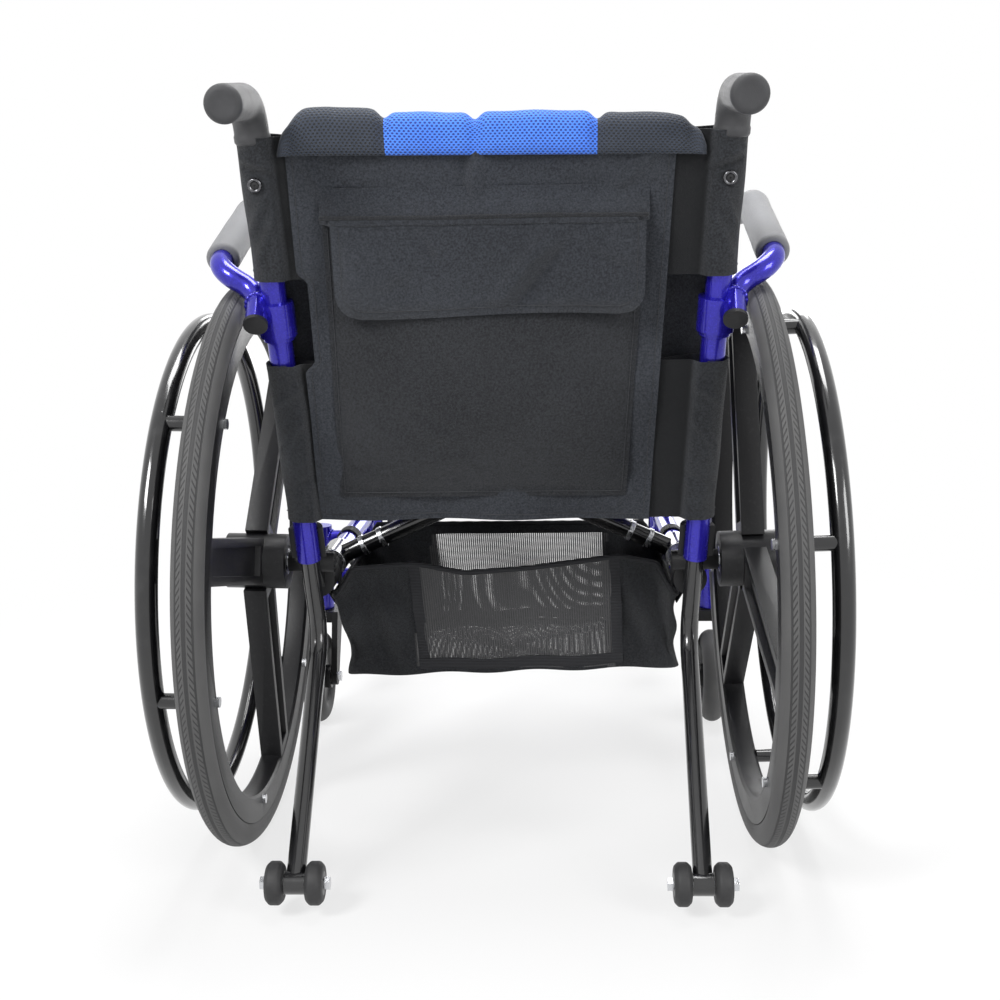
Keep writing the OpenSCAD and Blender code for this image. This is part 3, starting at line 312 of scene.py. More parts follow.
post_y, upper_rail_z, lower_rail_z = axle_y + 0.395018, 0.43, 0.278
caster_arm_r, caster_x, housing_r = 0.011, 0.270, 0.018
ring = [(math.cos(2 * math.pi * i / 72), math.sin(2 * math.pi * i / 72)) for i in range(72)]
for name, side in SIDES:
    body, middle, cane_weld = "frame_" + name, side * rail_x, []
    for c, s in ring:
        x, z = side * (rail_x + tube_r * c), upper_rail_z + tube_r * s
        cane = cane_at(z, side)
        cane_half = math.sqrt(max(0, tube_r ** 2 - (x - cane.x) ** 2)) / math.cos(lean)
        cane_weld.append((x, cane.y + cane_half, z))
    weld_bead("cane_weld_" + name, cane_weld, body)
    weld_bead("post_weld_" + name, [
        (middle + tube_r * c, post_y + tube_r * s, upper_rail_z - tube_r * abs(s)) for c, s in ring], body)
    weld_bead("rail_weld_" + name, [
        (middle + tube_r * c, post_y - tube_r * abs(s), lower_rail_z + tube_r * s) for c, s in ring], body)
    for word, height in (("low", 0.196), ("high", 0.250)):
        for place, x, r, way in (("inner", rail_x, tube_r, -1), ("outer", rail_x, tube_r, 1),
                                 ("housing", caster_x, housing_r, -1)):
            weld_bead(f"caster_arm_weld_{word}_{place}_{name}", [
                (side * (x + way * math.sqrt(r ** 2 - (caster_arm_r * c) ** 2)),
                 post_y + caster_arm_r * c, height + caster_arm_r * s) for c, s in ring], body)


# The push grips: soft black rubber sleeves pushed over the handle bends, smooth along the hand,
# with a rolled lip at the cane and a flat end with a well-rounded edge.
def bent_path(points, bend):
    """A route of straight runs and true arcs: its point and direction at a distance, and its length."""
    points = [Vector(p) for p in points]
    points = [points[0]] + [q for p, q in zip(points, points[1:]) if (q - p).length > 1e-6]
    line = [points[0]]
    for a, b, c in zip(points, points[1:], points[2:]):
        u, w = (b - a).normalized(), (c - b).normalized()
        angle = u.angle(w)
        if bend * angle < 1e-6:
            line.append(b)
            continue
        inward = (w - u * w.dot(u)).normalized()
        centre = b - u * (bend * math.tan(angle / 2)) + inward * bend
        for turn in (angle * k / 12 for k in range(13)):
            line.append(centre + bend * (u * math.sin(turn) - inward * math.cos(turn)))
    line.append(points[-1])
    steps = [(q - p).length for p, q in zip(line, line[1:])]
    reach = [0.0]
    for step in steps:
        reach.append(reach[-1] + step)

    def at(s):
        k = min(max(int(np.searchsorted(reach, s)) - 1, 0), len(steps) - 1)
        along = (line[k + 1] - line[k]) / steps[k]
        return line[k] + along * (s - reach[k]), along

    return at, reach[-1]


def skin_over(name, at, profile, turns, across=(1, 0, 0)):
    """A round skin along a route: profile lists each ring's distance along it and radius."""
    rings = []
    for s, _ in profile:
        centre, along = at(s)
        first = (Vector(across) - along * along.dot(Vector(across))).normalized()
        rings.append((centre, first, along.cross(first)))
    centres, firsts, seconds = np.array(rings).transpose(1, 0, 2)
    radii = np.array([r for _, r in profile])

    def place(u, v):
        j = np.rint(v * (len(profile) - 1)).astype(int)
        turn = 2 * math.pi * (np.rint(u * turns) % turns) / turns
        return (centres[j] + (radii[j] * np.cos(turn))[:, None] * firsts[j]
                + (radii[j] * np.sin(turn))[:, None] * seconds[j]).T

    return grid_piece(name, turns, len(profile) - 1, place, joined=True)


rubber, at = finish("grip_rubber", specular_ior_level=0.4, sheen_weight=0.2, sheen_roughness=0.4)
cover(rubber, noise(at, 40.0).mix((0.026, 0.026, 0.028), (0.056, 0.057, 0.061)),
      0.42 + 0.25 * noise(at, 120.0), noise(at, 1800.0, 2.0), 0.0003)
droop, handle_z, bend_r = math.radians(8), 0.776, 0.030
grip_r, lip, edge_r = 0.0165, 0.0095, 0.006
back = Vector((0, -math.cos(droop), -math.sin(droop)))
for name, side in SIDES:
    corner = cane_at(handle_z, side)
    down = (cane_at(cane_low_z, side) - corner).normalized()
    at, length = bent_path([corner + down * 0.0395, corner, corner + back * 0.104], bend_r)
    profile = [(0.0, 0.0128), (0.0004, 0.0158), (0.0024, 0.0172), (0.0075, 0.0173), (lip, grip_r)]
    profile += [(lip + (length - lip - edge_r) * k / 48, grip_r + 0.0008 * (k / 48) ** 2) for k in range(1, 49)]
    profile += [(length - edge_r * (1 - math.sin(a)), 0.0113 + edge_r * math.cos(a))
                for a in np.radians(range(10, 91, 10))]
    profile += [(length - 0.0002, 0.0090), (length - 0.0004, 0.0045), (length - 0.0004, 0.0001)]
    grip = skin_over("grip_" + name, at, profile, 40)
    fitted(grip, "frame_" + name, "grip_rubber", rubber)
    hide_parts("push_grip_" + name)


# The axle brackets: black-painted castings that clamp the cane and the lower rail and hold the
# axle's receiver, pulled tight by two socket-head bolts each; the axles are plain turned steel.
def soften(nodes, word, width, bodies, slot, material):
    """Stands a copy with its sharp edges rounded in place of each of a pair of CAD nodes."""
    for node, name, body in zip(pair(nodes), pair(word), pair(bodies)):
        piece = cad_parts[node].copy()
        piece.data = piece.data.copy()
        piece.name = piece.data.name = name
        piece.parent = None
        for key in list(piece.keys()):
            del piece[key]
        bpy.context.scene.collection.objects.link(piece)
        select_only(piece)
        bpy.ops.mesh.customdata_custom_splitnormals_clear()
        bpy.ops.object.mode_set(mode="EDIT")
        bpy.ops.mesh.select_all(action="SELECT")
        bpy.ops.mesh.remove_doubles(threshold=1e-5)
        bpy.ops.mesh.dissolve_limited(angle_limit=math.radians(0.4))
        bpy.ops.object.mode_set(mode="OBJECT")
        modify(piece, "BEVEL", width=width, segments=2, limit_method="ANGLE", angle_limit=math.radians(30),
               harden_normals=False)
        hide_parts(node)
        fitted(piece, body, slot, material)


def turned(name, start, way, profile, turns, across=(1, 0, 0)):
    """A piece turned on a lathe, along way from start."""
    return skin_over(name, lambda s: (start + way * s, way), profile, turns, across)


casting, at = finish("cast_black", specular_ior_level=0.3)
cover(casting, noise(at, 30.0).mix((0.006, 0.006, 0.007), (0.014, 0.014, 0.015)),
      0.34 + 0.2 * noise(at, 260.0), noise(at, 900.0, 2.0), 0.00025)
dress(casting, *pair("caster_fork", "lock_bracket"))

steel, at = finish("bright_steel", metallic=1.0)
grain = noise(at.vector("MULTIPLY", (400.0, 60.0, 60.0)), 1.0)
cover(steel, grain.mix((0.50, 0.51, 0.53), (0.74, 0.75, 0.77)), 0.16 + 0.22 * grain)
dress(steel, "brace_bolt", *pair("axle", "axle_button", "handrim_bolts", "hub_bearings", "caster_axle",
                                 "anti_tip_axle"))

bolt_seat_z = 0.2943
cap_profile = [(0.0, 0.0001), (0.0, 0.0046), (0.0042, 0.0046), (0.005, 0.0040), (0.005, 0.0025),
               (0.0025, 0.0024), (0.0025, 0.0001)]
soften("axle_bracket", "axle_casting", 0.0012, "frame", "cast_black", casting)
for name, side in SIDES:
    for k, forward in enumerate((0.034, 0.050)):
        seat = Vector((side * rail_x, axle_y + forward, bolt_seat_z))
        bolt = turned(f"bracket_bolt_{k}_{name}", seat, Vector((0, 0, 1)), cap_profile, 20)
        fitted(bolt, "frame_" + name, "steel", steel, angle=35)


# The drive wheels: one-piece wheels moulded in black glass-filled plastic, with three broad spokes
# that are sunk between raised edges; the moulding leaves a fine grain and dull, rubbed edges.
moulding, at = finish("wheel_moulding", specular_ior_level=0.28)
swirl, rub = noise(at, 9.0, 5.0), noise(at, 260.0, 4.0).rise(0.55, 0.8) * 0.35
cover(moulding, rub.mix(swirl.mix((0.005, 0.005, 0.006), (0.012, 0.012, 0.013)), (0.035, 0.035, 0.036)),
      0.26 + 0.22 * swirl, noise(at, 1200.0, 2.0), 0.00022)
soften("drive_wheel", "moulded_wheel", 0.0022, "wheel", "wheel_moulding", moulding)


# The drive tyres: solid grey-black rubber stretched over the rims, with a groove round the middle,
# a finer line on each shoulder and short slanting cuts pressed in by the mould.
camber, cut_count, cut_slant = math.radians(1.5), 260, 260.0
for name, side in SIDES:
    tyre, at = finish("drive_rubber_" + name)
    out = at.vector("SUBTRACT", (side * 0.27, axle_y, 0.304867))
    off = out.vector("DOT_PRODUCT", (side * math.cos(camber), 0.0, math.sin(camber)), out="Value").maths("ABSOLUTE")
    turn = out.part("Y").maths("ARCTAN2", out.part("Z")) * (cut_count / (2 * math.pi))
    groove = off.rise(0.0012, 0.0022) * (off - 0.0078).maths("ABSOLUTE").rise(0.0004, 0.0010)
    cut = ((turn + off * cut_slant).maths("FRACT") - 0.5).maths("ABSOLUTE").rise(0.10, 0.18)
    shoulder = off.rise(0.0030, 0.0034) - off.rise(0.0068, 0.0072)
    tread = groove * cut.maths("MAXIMUM", 1 - shoulder)
    dust = noise(at, 24.0, 5.0)
    worn = dust.mix((0.055, 0.055, 0.057), (0.105, 0.104, 0.103))
    # The groove, shoulder lines and slanting cuts are painted near-black: painted shade in them. The face between
    # them is mottled with dust.
    cover(tyre, tread.mix((0.030, 0.030, 0.031), worn), 0.55 + 0.2 * dust, tread + 0.4 * noise(at, 900.0), 0.0008)
    dress(tyre, "drive_tyre_" + name)


# The handrims: bent steel hoops on six welded tabs, dipped in glossy black; the hands polish them,
# so the coat is bright with a few fine rubs. The bolts through the rim are zinc-plated.
gloss, at = finish("handrim_black", coat_weight=0.6, coat_roughness=0.04)
wear = noise(at, 60.0, 6.0)
cover(gloss, wear.rise(0.5, 0.75).mix((0.004, 0.004, 0.005), (0.014, 0.014, 0.015)), 0.10 + 0.20 * wear)
dress(gloss, *pair("handrim"))


# The casters: small wheels with a soft grey tyre moulded round a plastic hub, on bolts through the
# legs of pressed forks, whose stems turn in the frame's housings.
def out_from(at, y, z):
    """How far a place lies from an axle that runs across the chair."""
    return at.vector("SUBTRACT", (0.0, y, z)).vector("MULTIPLY", (0.0, 1.0, 1.0)).vector("LENGTH", out="Value")


roller, at = finish("caster_rubber")
radius = out_from(at, axle_y + 0.357, 0.0625)
tyred = radius.rise(0.0335, 0.0345)
worn = noise(at, 50.0, 4.0).mix((0.07, 0.07, 0.072), (0.11, 0.11, 0.108))
cover(roller, tyred.mix((0.018, 0.018, 0.019), worn), 0.36 + tyred * 0.3,
      radius.maths("PINGPONG", 0.004) * 120.0 * (1 - tyred) + noise(at, 1400.0) * 0.2, 0.0004)
dress(roller, *pair("caster_wheel"))


# The folding cross: two straight steel tubes in gloss black, pinned where they cross; each turns on
# a lower rail in a clamp with bright end rings, and carries a seat rail at its upper end.
stove, at = finish("tube_black", coat_weight=0.8, coat_roughness=0.05)
streak = noise(at, 35.0, 5.0)
cover(stove, streak.mix((0.004, 0.004, 0.005), (0.010, 0.010, 0.011)), 0.14 + 0.18 * streak,
      noise(at, 300.0, 1.0), 0.00008)
dress(stove, "brace_arm_a", "brace_arm_b", *pair("seat_rail", "anti_tip_tube"))

plastic, at = finish("black_plastic", specular_ior_level=0.35)
cover(plastic, noise(at, 80.0).mix((0.011, 0.011, 0.012), (0.026, 0.026, 0.028)),
      0.36 + 0.2 * noise(at, 300.0), noise(at, 1600.0), 0.0002)
dress(plastic, *pair("arm_plug"))
soften("rail_saddles", "saddle_cups", 0.0016, "frame", "black_plastic", plastic)

brace_y, arm_step, seat_rail_z = axle_y + 0.150, 0.014, 0.462
arm_ring = [(0.0, 0.0108), (0.0, 0.0119), (0.0006, 0.0124), (0.0054, 0.0124), (0.006, 0.0119), (0.006, 0.0108)]
clamp_ring = [(0.0, 0.0126), (0.0, 0.0168), (0.0008, 0.0173), (0.0042, 0.0173), (0.005, 0.0168), (0.005, 0.0126)]
for name, side in (("a", -1.0), ("b", 1.0)):
    y = brace_y + side * arm_step
    foot, head = Vector((side * rail_x, y, lower_rail_z)), Vector((-side * rail_x, y, seat_rail_z))
    along = (head - foot).normalized()
    bands = [turned(f"arm_ring_{k}_{name}", foot + along * reach, along, arm_ring, 36, (0, 1, 0))
             for k, reach in enumerate((0.036, 0.060))]
    bands += [turned(f"clamp_ring_{k}_{name}", foot + Vector((0, shift, 0)), Vector((0, 1, 0)), clamp_ring, 40)
              for k, shift in enumerate((-0.0352, 0.0302))]
    for band in bands:
        fitted(band, "brace_" + name, "steel", steel, angle=35)

plug_profile = [(-0.006, 0.0001), (-0.006, 0.0088), (0.0, 0.0108), (0.0012, 0.0108), (0.0030, 0.0098),
                (0.0038, 0.0070), (0.0040, 0.0001)]
for (name, side), body in zip(SIDES, ("brace_b", "brace_a")):
    for word, forward, way in (("rear", -0.025, -1.0), ("front", 0.385, 1.0)):
        start = Vector((side * rail_x, axle_y + forward, seat_rail_z))
        plug = turned(f"rail_plug_{word}_{name}", start, Vector((0, way, 0)), plug_profile, 28)
        fitted(plug, body, "black_plastic", plastic)


# The arms: enamelled tubes welded to collars that turn on the canes, closed behind by a plastic
# plug, with a sleeve of closed-cell foam drawn over the level stretch and rounded at its ends.
foam, at = finish("arm_foam", sheen_weight=0.25, sheen_roughness=0.4)
pore = noise(at, 700.0, 4.0)
cover(foam, (noise(at, 18.0) * 0.7 + pore * 0.3).mix((0.15, 0.152, 0.16), (0.25, 0.253, 0.265)),
      0.50 + 0.2 * pore, pore, 0.0006)
collar_z, arm_z, arm_r, foam_r = 0.572, 0.682, 0.0112, 0.0172
for name, side in SIDES:
    pivot = cane_at(collar_z, side)
    knee = pivot + Vector((side * 0.0175, 0.004, 0.025))
    low = Vector((side * 0.277, pivot.y + 0.0095, 0.622))
    high = Vector((side * 0.279, pivot.y + 0.189, arm_z))
    slope = (high - low).normalized()
    foam_foot = low + slope * (bend_r * math.tan((low - knee).angle(slope) / 2) + 0.004)
    at, length = bent_path([foam_foot, high, (side * 0.279, axle_y + 0.305, arm_z)], bend_r)
    profile = [(0.0, 0.0112), (-0.0002, 0.0140), (0.0010, 0.0160), (0.0035, 0.0170)]
    profile += [(0.006 + (length - 0.014) * k / 110,
                 foam_r + 0.0001 * (math.sin(k * 0.31) + math.sin(k * 0.13 + side))) for k in range(111)]
    profile += [(length - 0.005, 0.0166), (length - 0.0022, 0.0152), (length - 0.0006, 0.0124),
                (length, 0.0080), (length, 0.0001)]
    sleeve = skin_over("foam_sleeve_" + name, at, profile, 36)
    fitted(sleeve, "arm_" + name, "arm_foam", foam)
    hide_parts("arm_pad_" + name)
    start = pivot + Vector((side * 0.0155, -0.027, -0.003))
    along = (knee - start).normalized()
    first = (Vector((1, 0, 0)) - along * along.x).normalized()
    second = along.cross(first)
    spine = (cane_at(0.7, side) - cane_at(0.5, side)).normalized()
    square = along - spine * along.dot(spine)
    bead = []
    for c, s in ring:
        near = start + (first * c + second * s) * arm_r
        meets = (pivot - near).dot(square) / square.length_squared
        bead.append(near + along * min(max(meets - 0.006, 0.002), 0.05))
    weld_bead("collar_weld_" + name, bead, "arm_" + name)


# The anti-tip wheels: bent black tubes plugged into the lower ends of the canes and held by sprung
# buttons, each with a pair of small rubber-tyred rollers on a through bolt.
roller, at = finish("tip_rubber")
hub_r = 0.0112
radius = out_from(at, axle_y - 0.222, 0.033)
tyred = radius.rise(hub_r, 0.0116)
worn = noise(at, 90.0, 4.0).mix((0.014, 0.014, 0.015), (0.034, 0.034, 0.035))
cover(roller, tyred.mix((0.05, 0.05, 0.052), worn), 0.35 + tyred * 0.25,
      (radius - hub_r).maths("ABSOLUTE").rise(0.0002, 0.0009) + noise(at, 1500.0) * 0.1, 0.0008)
soften("anti_tip_wheels", "tip_rollers", 0.0012, "tip_wheels", "tip_rubber", roller)


# The wheel locks: pressed steel levers on clamps round the upper rails, with a shoe that is swung
# against the tyre and a black moulded knob.
lever, at = finish("lever_metal")
knob = at.part("Z").rise(0.5045, 0.5055)
grain = noise(at.vector("MULTIPLY", (60.0, 60.0, 600.0)), 1.0)
cover(lever, knob.mix(grain.mix((0.40, 0.41, 0.43), (0.62, 0.63, 0.65)), (0.018, 0.018, 0.019)),
      0.22 + 0.2 * grain + knob * 0.15, Metallic=1 - knob)
soften("lock_lever", "lock_handle", 0.0012, "lock", "lever_metal", lever)


# The footplates: moulded black plates that turn up on bars at the feet of the hangers, with raised
# ribs across the tread so that a shoe doesn't slide.
tread, at = finish("plate_plastic")
rib_pitch = 0.012
rib = (at.part("Z") * (1 / rib_pitch)).maths("FRACT").maths("PINGPONG", 0.5).rise(0.16, 0.22)
# The grooves between the ribs are painted darker: painted shade.
cover(tread, rib.mix((0.014, 0.014, 0.015), (0.026, 0.026, 0.028)), 0.42 + 0.2 * noise(at, 400.0),
      rib + noise(at, 1500.0) * 0.1, 0.0012)
soften("footplate", "tread_plate", 0.0016, "plate", "black_plastic", tread)


# The back: a hemmed panel of black polyester canvas that hangs between sleeves sewn round the canes.
# The sleeves stop short of each other on each side, so that the arms' collars can turn on the tube.
def up_at(z):
    return (z - cane_low_z) / math.cos(lean)


def on_back(x, behind, up):
    """A place on the leaning back: across it, behind the canes' middle plane, and up along them."""
    return (x, cane_low_y - behind * math.cos(lean) - up * math.sin(lean),
            cane_low_z - behind * math.sin(lean) + up * math.cos(lean))


def smooth(t):
    t = np.clip(t, 0, 1)
    return t * t * (3 - 2 * t)


def crease(x, up, start, end, width):
    """1 on the line from start to end, fading over width."""
    start, end = np.array(start), np.array(end)
    run = end - start
    t = np.clip(((x - start[0]) * run[0] + (up - start[1]) * run[1]) / (run @ run), 0, 1)
    return np.exp(-((x - start[0] - t * run[0]) ** 2 + (up - start[1] - t * run[1]) ** 2) / width ** 2)


def folds(x, z, rows):
    """The height of the folds in a cloth. Each row is a fold's height, its two ends and its width."""
    return sum(height * crease(x, up_at(z), (x_a, up_at(z_a)), (x_b, up_at(z_b)), width)
               for height, x_a, z_a, x_b, z_b, width in rows)


def hung(piece, thick, inward=0.0):
    cut = uv_of(piece).max(0)
    area = sum(face.area for face in piece.data.polygons)
    modify(piece, "SOLIDIFY", thickness=thick, offset=inward)
    tuple(cut * max(1, math.sqrt(area / cut.prod())))


def folds_flat(piece):
    """Gives the piece its own copy of its mesh."""
    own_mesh(piece)


def stitched(name, route, body):
    """A row of stitches: one thread that swells at each stitch and dives between them."""
    at, length = bent_path(route, 0)
    pitch, thin, full = 0.0036, 0.00012, 0.00042
    count = int(length / pitch)
    profile = [((k + share) * length / count, r) for k in range(count)
               for share, r in ((0.02, thin), (0.16, full), (0.84, full), (0.98, thin))]
    return fitted(skin_over(name, at, profile, 6, (0.02, 0.3, 0.95)), body, "black_cloth", thread)


def on_cut(at):
    """The places across and along a cloth's flat cut, in metres."""
    flat = at.add("TexCoord", {}, {}, "UV")
    return flat.part("X"), flat.part("Y")


def woven(name, dark, light, valley_shade=False):
    """Plain-woven polyester: a fine weave with uneven dye. For the sleeves, painted shade darkens the strip lying
    more than about 2 cm inboard of the cane's middle, the valley between a sleeve and the panel.
    """
    cloth, at = finish(name, sheen_weight=0.12, sheen_roughness=0.4, specular_ior_level=0.3)
    weft, warp = ((way * (2 * math.pi / 0.0011)).maths("SINE") for way in on_cut(at))
    weave, speck = weft * warp, noise(at, 520.0, 2.0)
    shade = (weave * 0.12 + noise(at, 8.0, 5.0) * 0.5 + speck * 1.1).rise(0.45, 1.15)
    if valley_shade:
        off_cane = at.part("X").maths("ABSOLUTE") - at.part("Z") * math.tan(flare) - cane_x(0)
        shade = shade * off_cane.rise(-0.0215, -0.0175)
    cover(cloth, shade.mix(dark, light), 0.60 + 0.25 * noise(at, 420.0),
          weave + 0.9 * noise(at, 60.0, 4.0) + 1.6 * speck, 0.00035)
    return cloth


canvas = woven("black_canvas", (0.017, 0.0195, 0.0255), (0.062, 0.069, 0.084))
# The same canvas painted darker, as painted shade, for the pocket, its piping, the front layer, the seat and the bag.
shaded_canvas = woven("black_canvas_painted_shade", (0.010, 0.011, 0.0135), (0.041, 0.044, 0.051))
# The same canvas painted darker again, as painted shade, for the sleeves.
shaded_sleeve_canvas = woven("black_sleeve_canvas_painted_shade", (0.008, 0.0088, 0.0105), (0.042, 0.046, 0.054), valley_shade=True)

thread, at = finish("black_thread", roughness=0.6)
twist = (at.part("Z") * 5200.0).maths("SINE")
# The colour follows the twist: the hollows between the plies are painted darker, as painted shade.
cover(thread, twist.rise(-1, 1).mix((0.018, 0.019, 0.022), (0.05, 0.053, 0.06)), relief=twist, depth=0.0001)

back_low, back_top, hem = 0.362, 0.745, 0.006
panel_folds = ((0.0052, -0.013, 0.77, -0.016, 0.668, 0.007), (-0.0030, -0.024, 0.77, -0.030, 0.672, 0.006),
               (0.0030, -0.186, 0.738, -0.158, 0.694, 0.008), (0.0026, 0.160, 0.735, 0.120, 0.700, 0.009),
               (0.0013, -0.19, 0.50, -0.165, 0.70, 0.010), (0.0013, 0.165, 0.52, 0.15, 0.73, 0.009))


def panel_edges(z):
    """The panel's left and right edges, drawn in where the arms' collars turn."""
    room = smooth((z - 0.520) / 0.012) * smooth((0.620 - z) / 0.012)
    share = (z - back_low) / (back_top - back_low)
    return -0.188 - 0.006 * share + 0.010 * room, 0.155 + 0.019 * share


def back_face(x, z):
    """How far the panel stands behind the canes' middle plane."""
    up, foot = up_at(z), smooth((0.43 - z) / 0.07)
    return (0.0090 + folds(x, z, panel_folds) + 0.0022 * foot * np.sin(46 * x + 1.2)
            + 0.0010 * np.sin(34 * x + 9 * up) + 0.0009 * np.sin(51 * up - 13 * x))


def panel_place(u, v):
    z = back_low + (back_top - back_low) * v
    left, right = panel_edges(z)
    x = left + (right - left) * u
    return on_back(x, back_face(x, z), up_at(z))


panel = grid_piece("back_panel", 100, 104, panel_place)
hung(panel, 0.0014)
fitted(panel, "frame_left", "black_cloth", canvas)
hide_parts("back_upholstery")
folds_flat(panel)

pulls = {"upper": ((0.0036, 0.022, 0.716, -0.012, 0.729, 0.0035), (-0.0026, 0.020, 0.708, -0.010, 0.718, 0.0030),
                   (0.0028, 0.006, 0.690, -0.012, 0.655, 0.0040), (0.0026, 0.012, 0.668, -0.008, 0.630, 0.0040)),
         "lower": ((0.0032, 0.016, 0.505, -0.012, 0.488, 0.0035), (0.0028, 0.014, 0.470, -0.010, 0.440, 0.0040),
                   (-0.0026, 0.016, 0.410, -0.012, 0.395, 0.0040))}
sleeve_r, lap_end, wrap_end = 0.0152, 0.30, 0.65


def sleeve_place(side, word, low, high):
    """How a sleeve lies: lapped on the panel from behind, round the cane, and back along its front."""
    def place(u, v):
        z = low + (high - low) * v
        cane = cane_x(z)
        wide = np.maximum(cane - np.abs(panel_edges(z)[int(side > 0)]), 0.016) + 0.016
        r = sleeve_r + 0.0004 * np.sin(70 * z + 3 * side) + 0.0005 * smooth(1 - np.minimum(v, 1 - v) / 0.06)
        turn = (0.5 - (u - lap_end) / (wrap_end - lap_end)) * math.pi
        rear, front = u < lap_end, u > wrap_end
        run = np.where(rear, (lap_end - u) / lap_end, (u - wrap_end) / (1 - wrap_end))
        arc = np.where(rear, run * wide, (turn - math.pi / 2) * r)
        pull = sum(height * crease(arc, z, (arc_a, z_a), (arc_b, z_b), width)
                   for height, arc_a, z_a, arc_b, z_b, width in pulls[word])
        pull *= smooth((0.022 - arc) / 0.006) * smooth((arc + 0.016) / 0.006)
        fold = 0.0007 * np.sin(95 * z + 40 * run * side) * run
        across = np.where(rear | front, -run * wide, (r + pull) * np.cos(turn))
        tuck = smooth((run * wide - 0.012) / 0.010)
        behind = np.where(rear, r + (0.0064 - r) * tuck + fold * (1 - tuck) + pull, (r + pull) * np.sin(turn))
        behind = np.where(front, 0.0030 - (r + 0.0030) * (1 - smooth(run)) - np.abs(fold), behind)
        return on_back(side * (cane + across), behind, up_at(z))

    return place


stitch_r = 0.0166
for name, side in SIDES:
    for word, low, high in (("lower", back_low, 0.528), ("upper", 0.612, back_top)):
        sleeve = grid_piece(f"sleeve_{word}_{name}", 96, 44, sleeve_place(side, word, low, high))
        hung(sleeve, 0.0015)
        fitted(sleeve, "frame_" + name, "black_cloth", shaded_sleeve_canvas)
        for k, z in enumerate((low + 0.007, high - 0.007)):
            route = [cane_at(z, side) + stitch_r * Vector((side * math.cos(a), math.sin(a), -0.25 * math.sin(a)))
                     for a in np.linspace(-0.62 * math.pi, 0.5 * math.pi, 16)]
            stitched(f"sleeve_stitch_{word}_{k}_{name}", route, "frame_" + name)

heights = np.linspace(back_low + hem, back_top - 0.02, 60)
panel_rows = {"left": [(panel_edges(z)[0] + hem, z) for z in heights],
              "right": [(panel_edges(z)[1] - hem, z) for z in heights],
              "foot": [(x, back_low + hem) for x in np.linspace(-0.182, 0.149, 60)]}
for word, row in panel_rows.items():
    route = [on_back(x, back_face(x, z) + 0.0009, up_at(z)) for x, z in row]
    folds_flat(stitched("panel_stitch_" + word, route, "frame_left"))


def front_layer_place(u, v):
    z = 0.513 + 0.114 * v
    x = (cane_x(z) - 0.004) * (2 * u - 1)
    return on_back(x, -0.0146 + 0.0007 * np.sin(40 * x + 20 * z), up_at(z))


front_layer = grid_piece("front_layer", 60, 20, front_layer_place)
hung(front_layer, 0.0014)
fitted(front_layer, "frame_left", "black_cloth", shaded_canvas)
folds_flat(front_layer)


# The sleeve screws: cup washers in black nickel on the backs of the upper sleeves, each with a black
# cross-headed screw sunk in its middle and driven into the cane.
nickel, at = finish("black_nickel", metallic=1.0)
scuff = noise(at, 700.0)
cover(nickel, scuff.mix((0.05, 0.05, 0.055), (0.20, 0.20, 0.21)), 0.16 + 0.2 * scuff)
washer_profile = [(0.0004, 0.0029), (0.0012, 0.0034), (0.0030, 0.0046), (0.0033, 0.0056), (0.0027, 0.0066),
                  (0.0010, 0.0071), (0.0, 0.0070)]
screw_profile = [(0.0001, 0.0038), (0.0016, 0.0036), (0.0021, 0.0026), (0.0022, 0.0013), (0.0012, 0.0011),
                 (0.0010, 0.0001)]
screw_z, rearward = 0.703, Vector((0, -math.cos(lean), -math.sin(lean)))
for name, side in SIDES:
    seat = cane_at(screw_z, side) + rearward * 0.0164
    washer = turned("cup_washer_" + name, seat, rearward, washer_profile, 36)
    fitted(washer, "frame_" + name, "steel", nickel)
    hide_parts("sleeve_screws_" + name)
    screw = turned("sleeve_screw_" + name, seat, rearward, screw_profile, 24)
    fitted(screw, "frame_" + name, "black_plastic", plastic, angle=30)


# The back cushion: a pad of soft filling in spacer mesh, folded over the top of the panel and sewn
# through in three rows; the two middle blocks are blue and the outer ones black.
def puffed(piece, held, pressure, cap):
    """Swells a cloth skin by air pressure, held where it is sewn, and keeps each point within cap."""
    start = points_of(piece)
    group = piece.vertex_groups.new(name="sewn")
    group.add([int(i) for i in np.flatnonzero(held(start))], 1.0, "REPLACE")
    select_only(piece)
    modifier = piece.modifiers.new("swell", "CLOTH")
    settings = modifier.settings
    settings.quality, settings.mass = 6, 0.15
    settings.tension_stiffness = settings.compression_stiffness = settings.shear_stiffness = 12
    settings.bending_stiffness = 0.3
    settings.use_pressure, settings.uniform_pressure_force = True, pressure
    settings.vertex_group_mass = "sewn"
    settings.effector_weights.gravity = 0
    modifier.collision_settings.use_collision = False
    for moment in range(1, 21):
        bpy.context.scene.frame_set(moment)
    bpy.ops.object.modifier_apply(modifier=modifier.name)
    bpy.context.scene.frame_set(1)
    piece.vertex_groups.clear()
    shift = points_of(piece) - start
    length = np.linalg.norm(shift, axis=1)[:, None]
    shift *= np.minimum(1, cap * np.tanh(length / cap) / np.maximum(length, 1e-9))
    piece.data.vertices.foreach_set("co", (start + shift).ravel())
    piece.data.update()


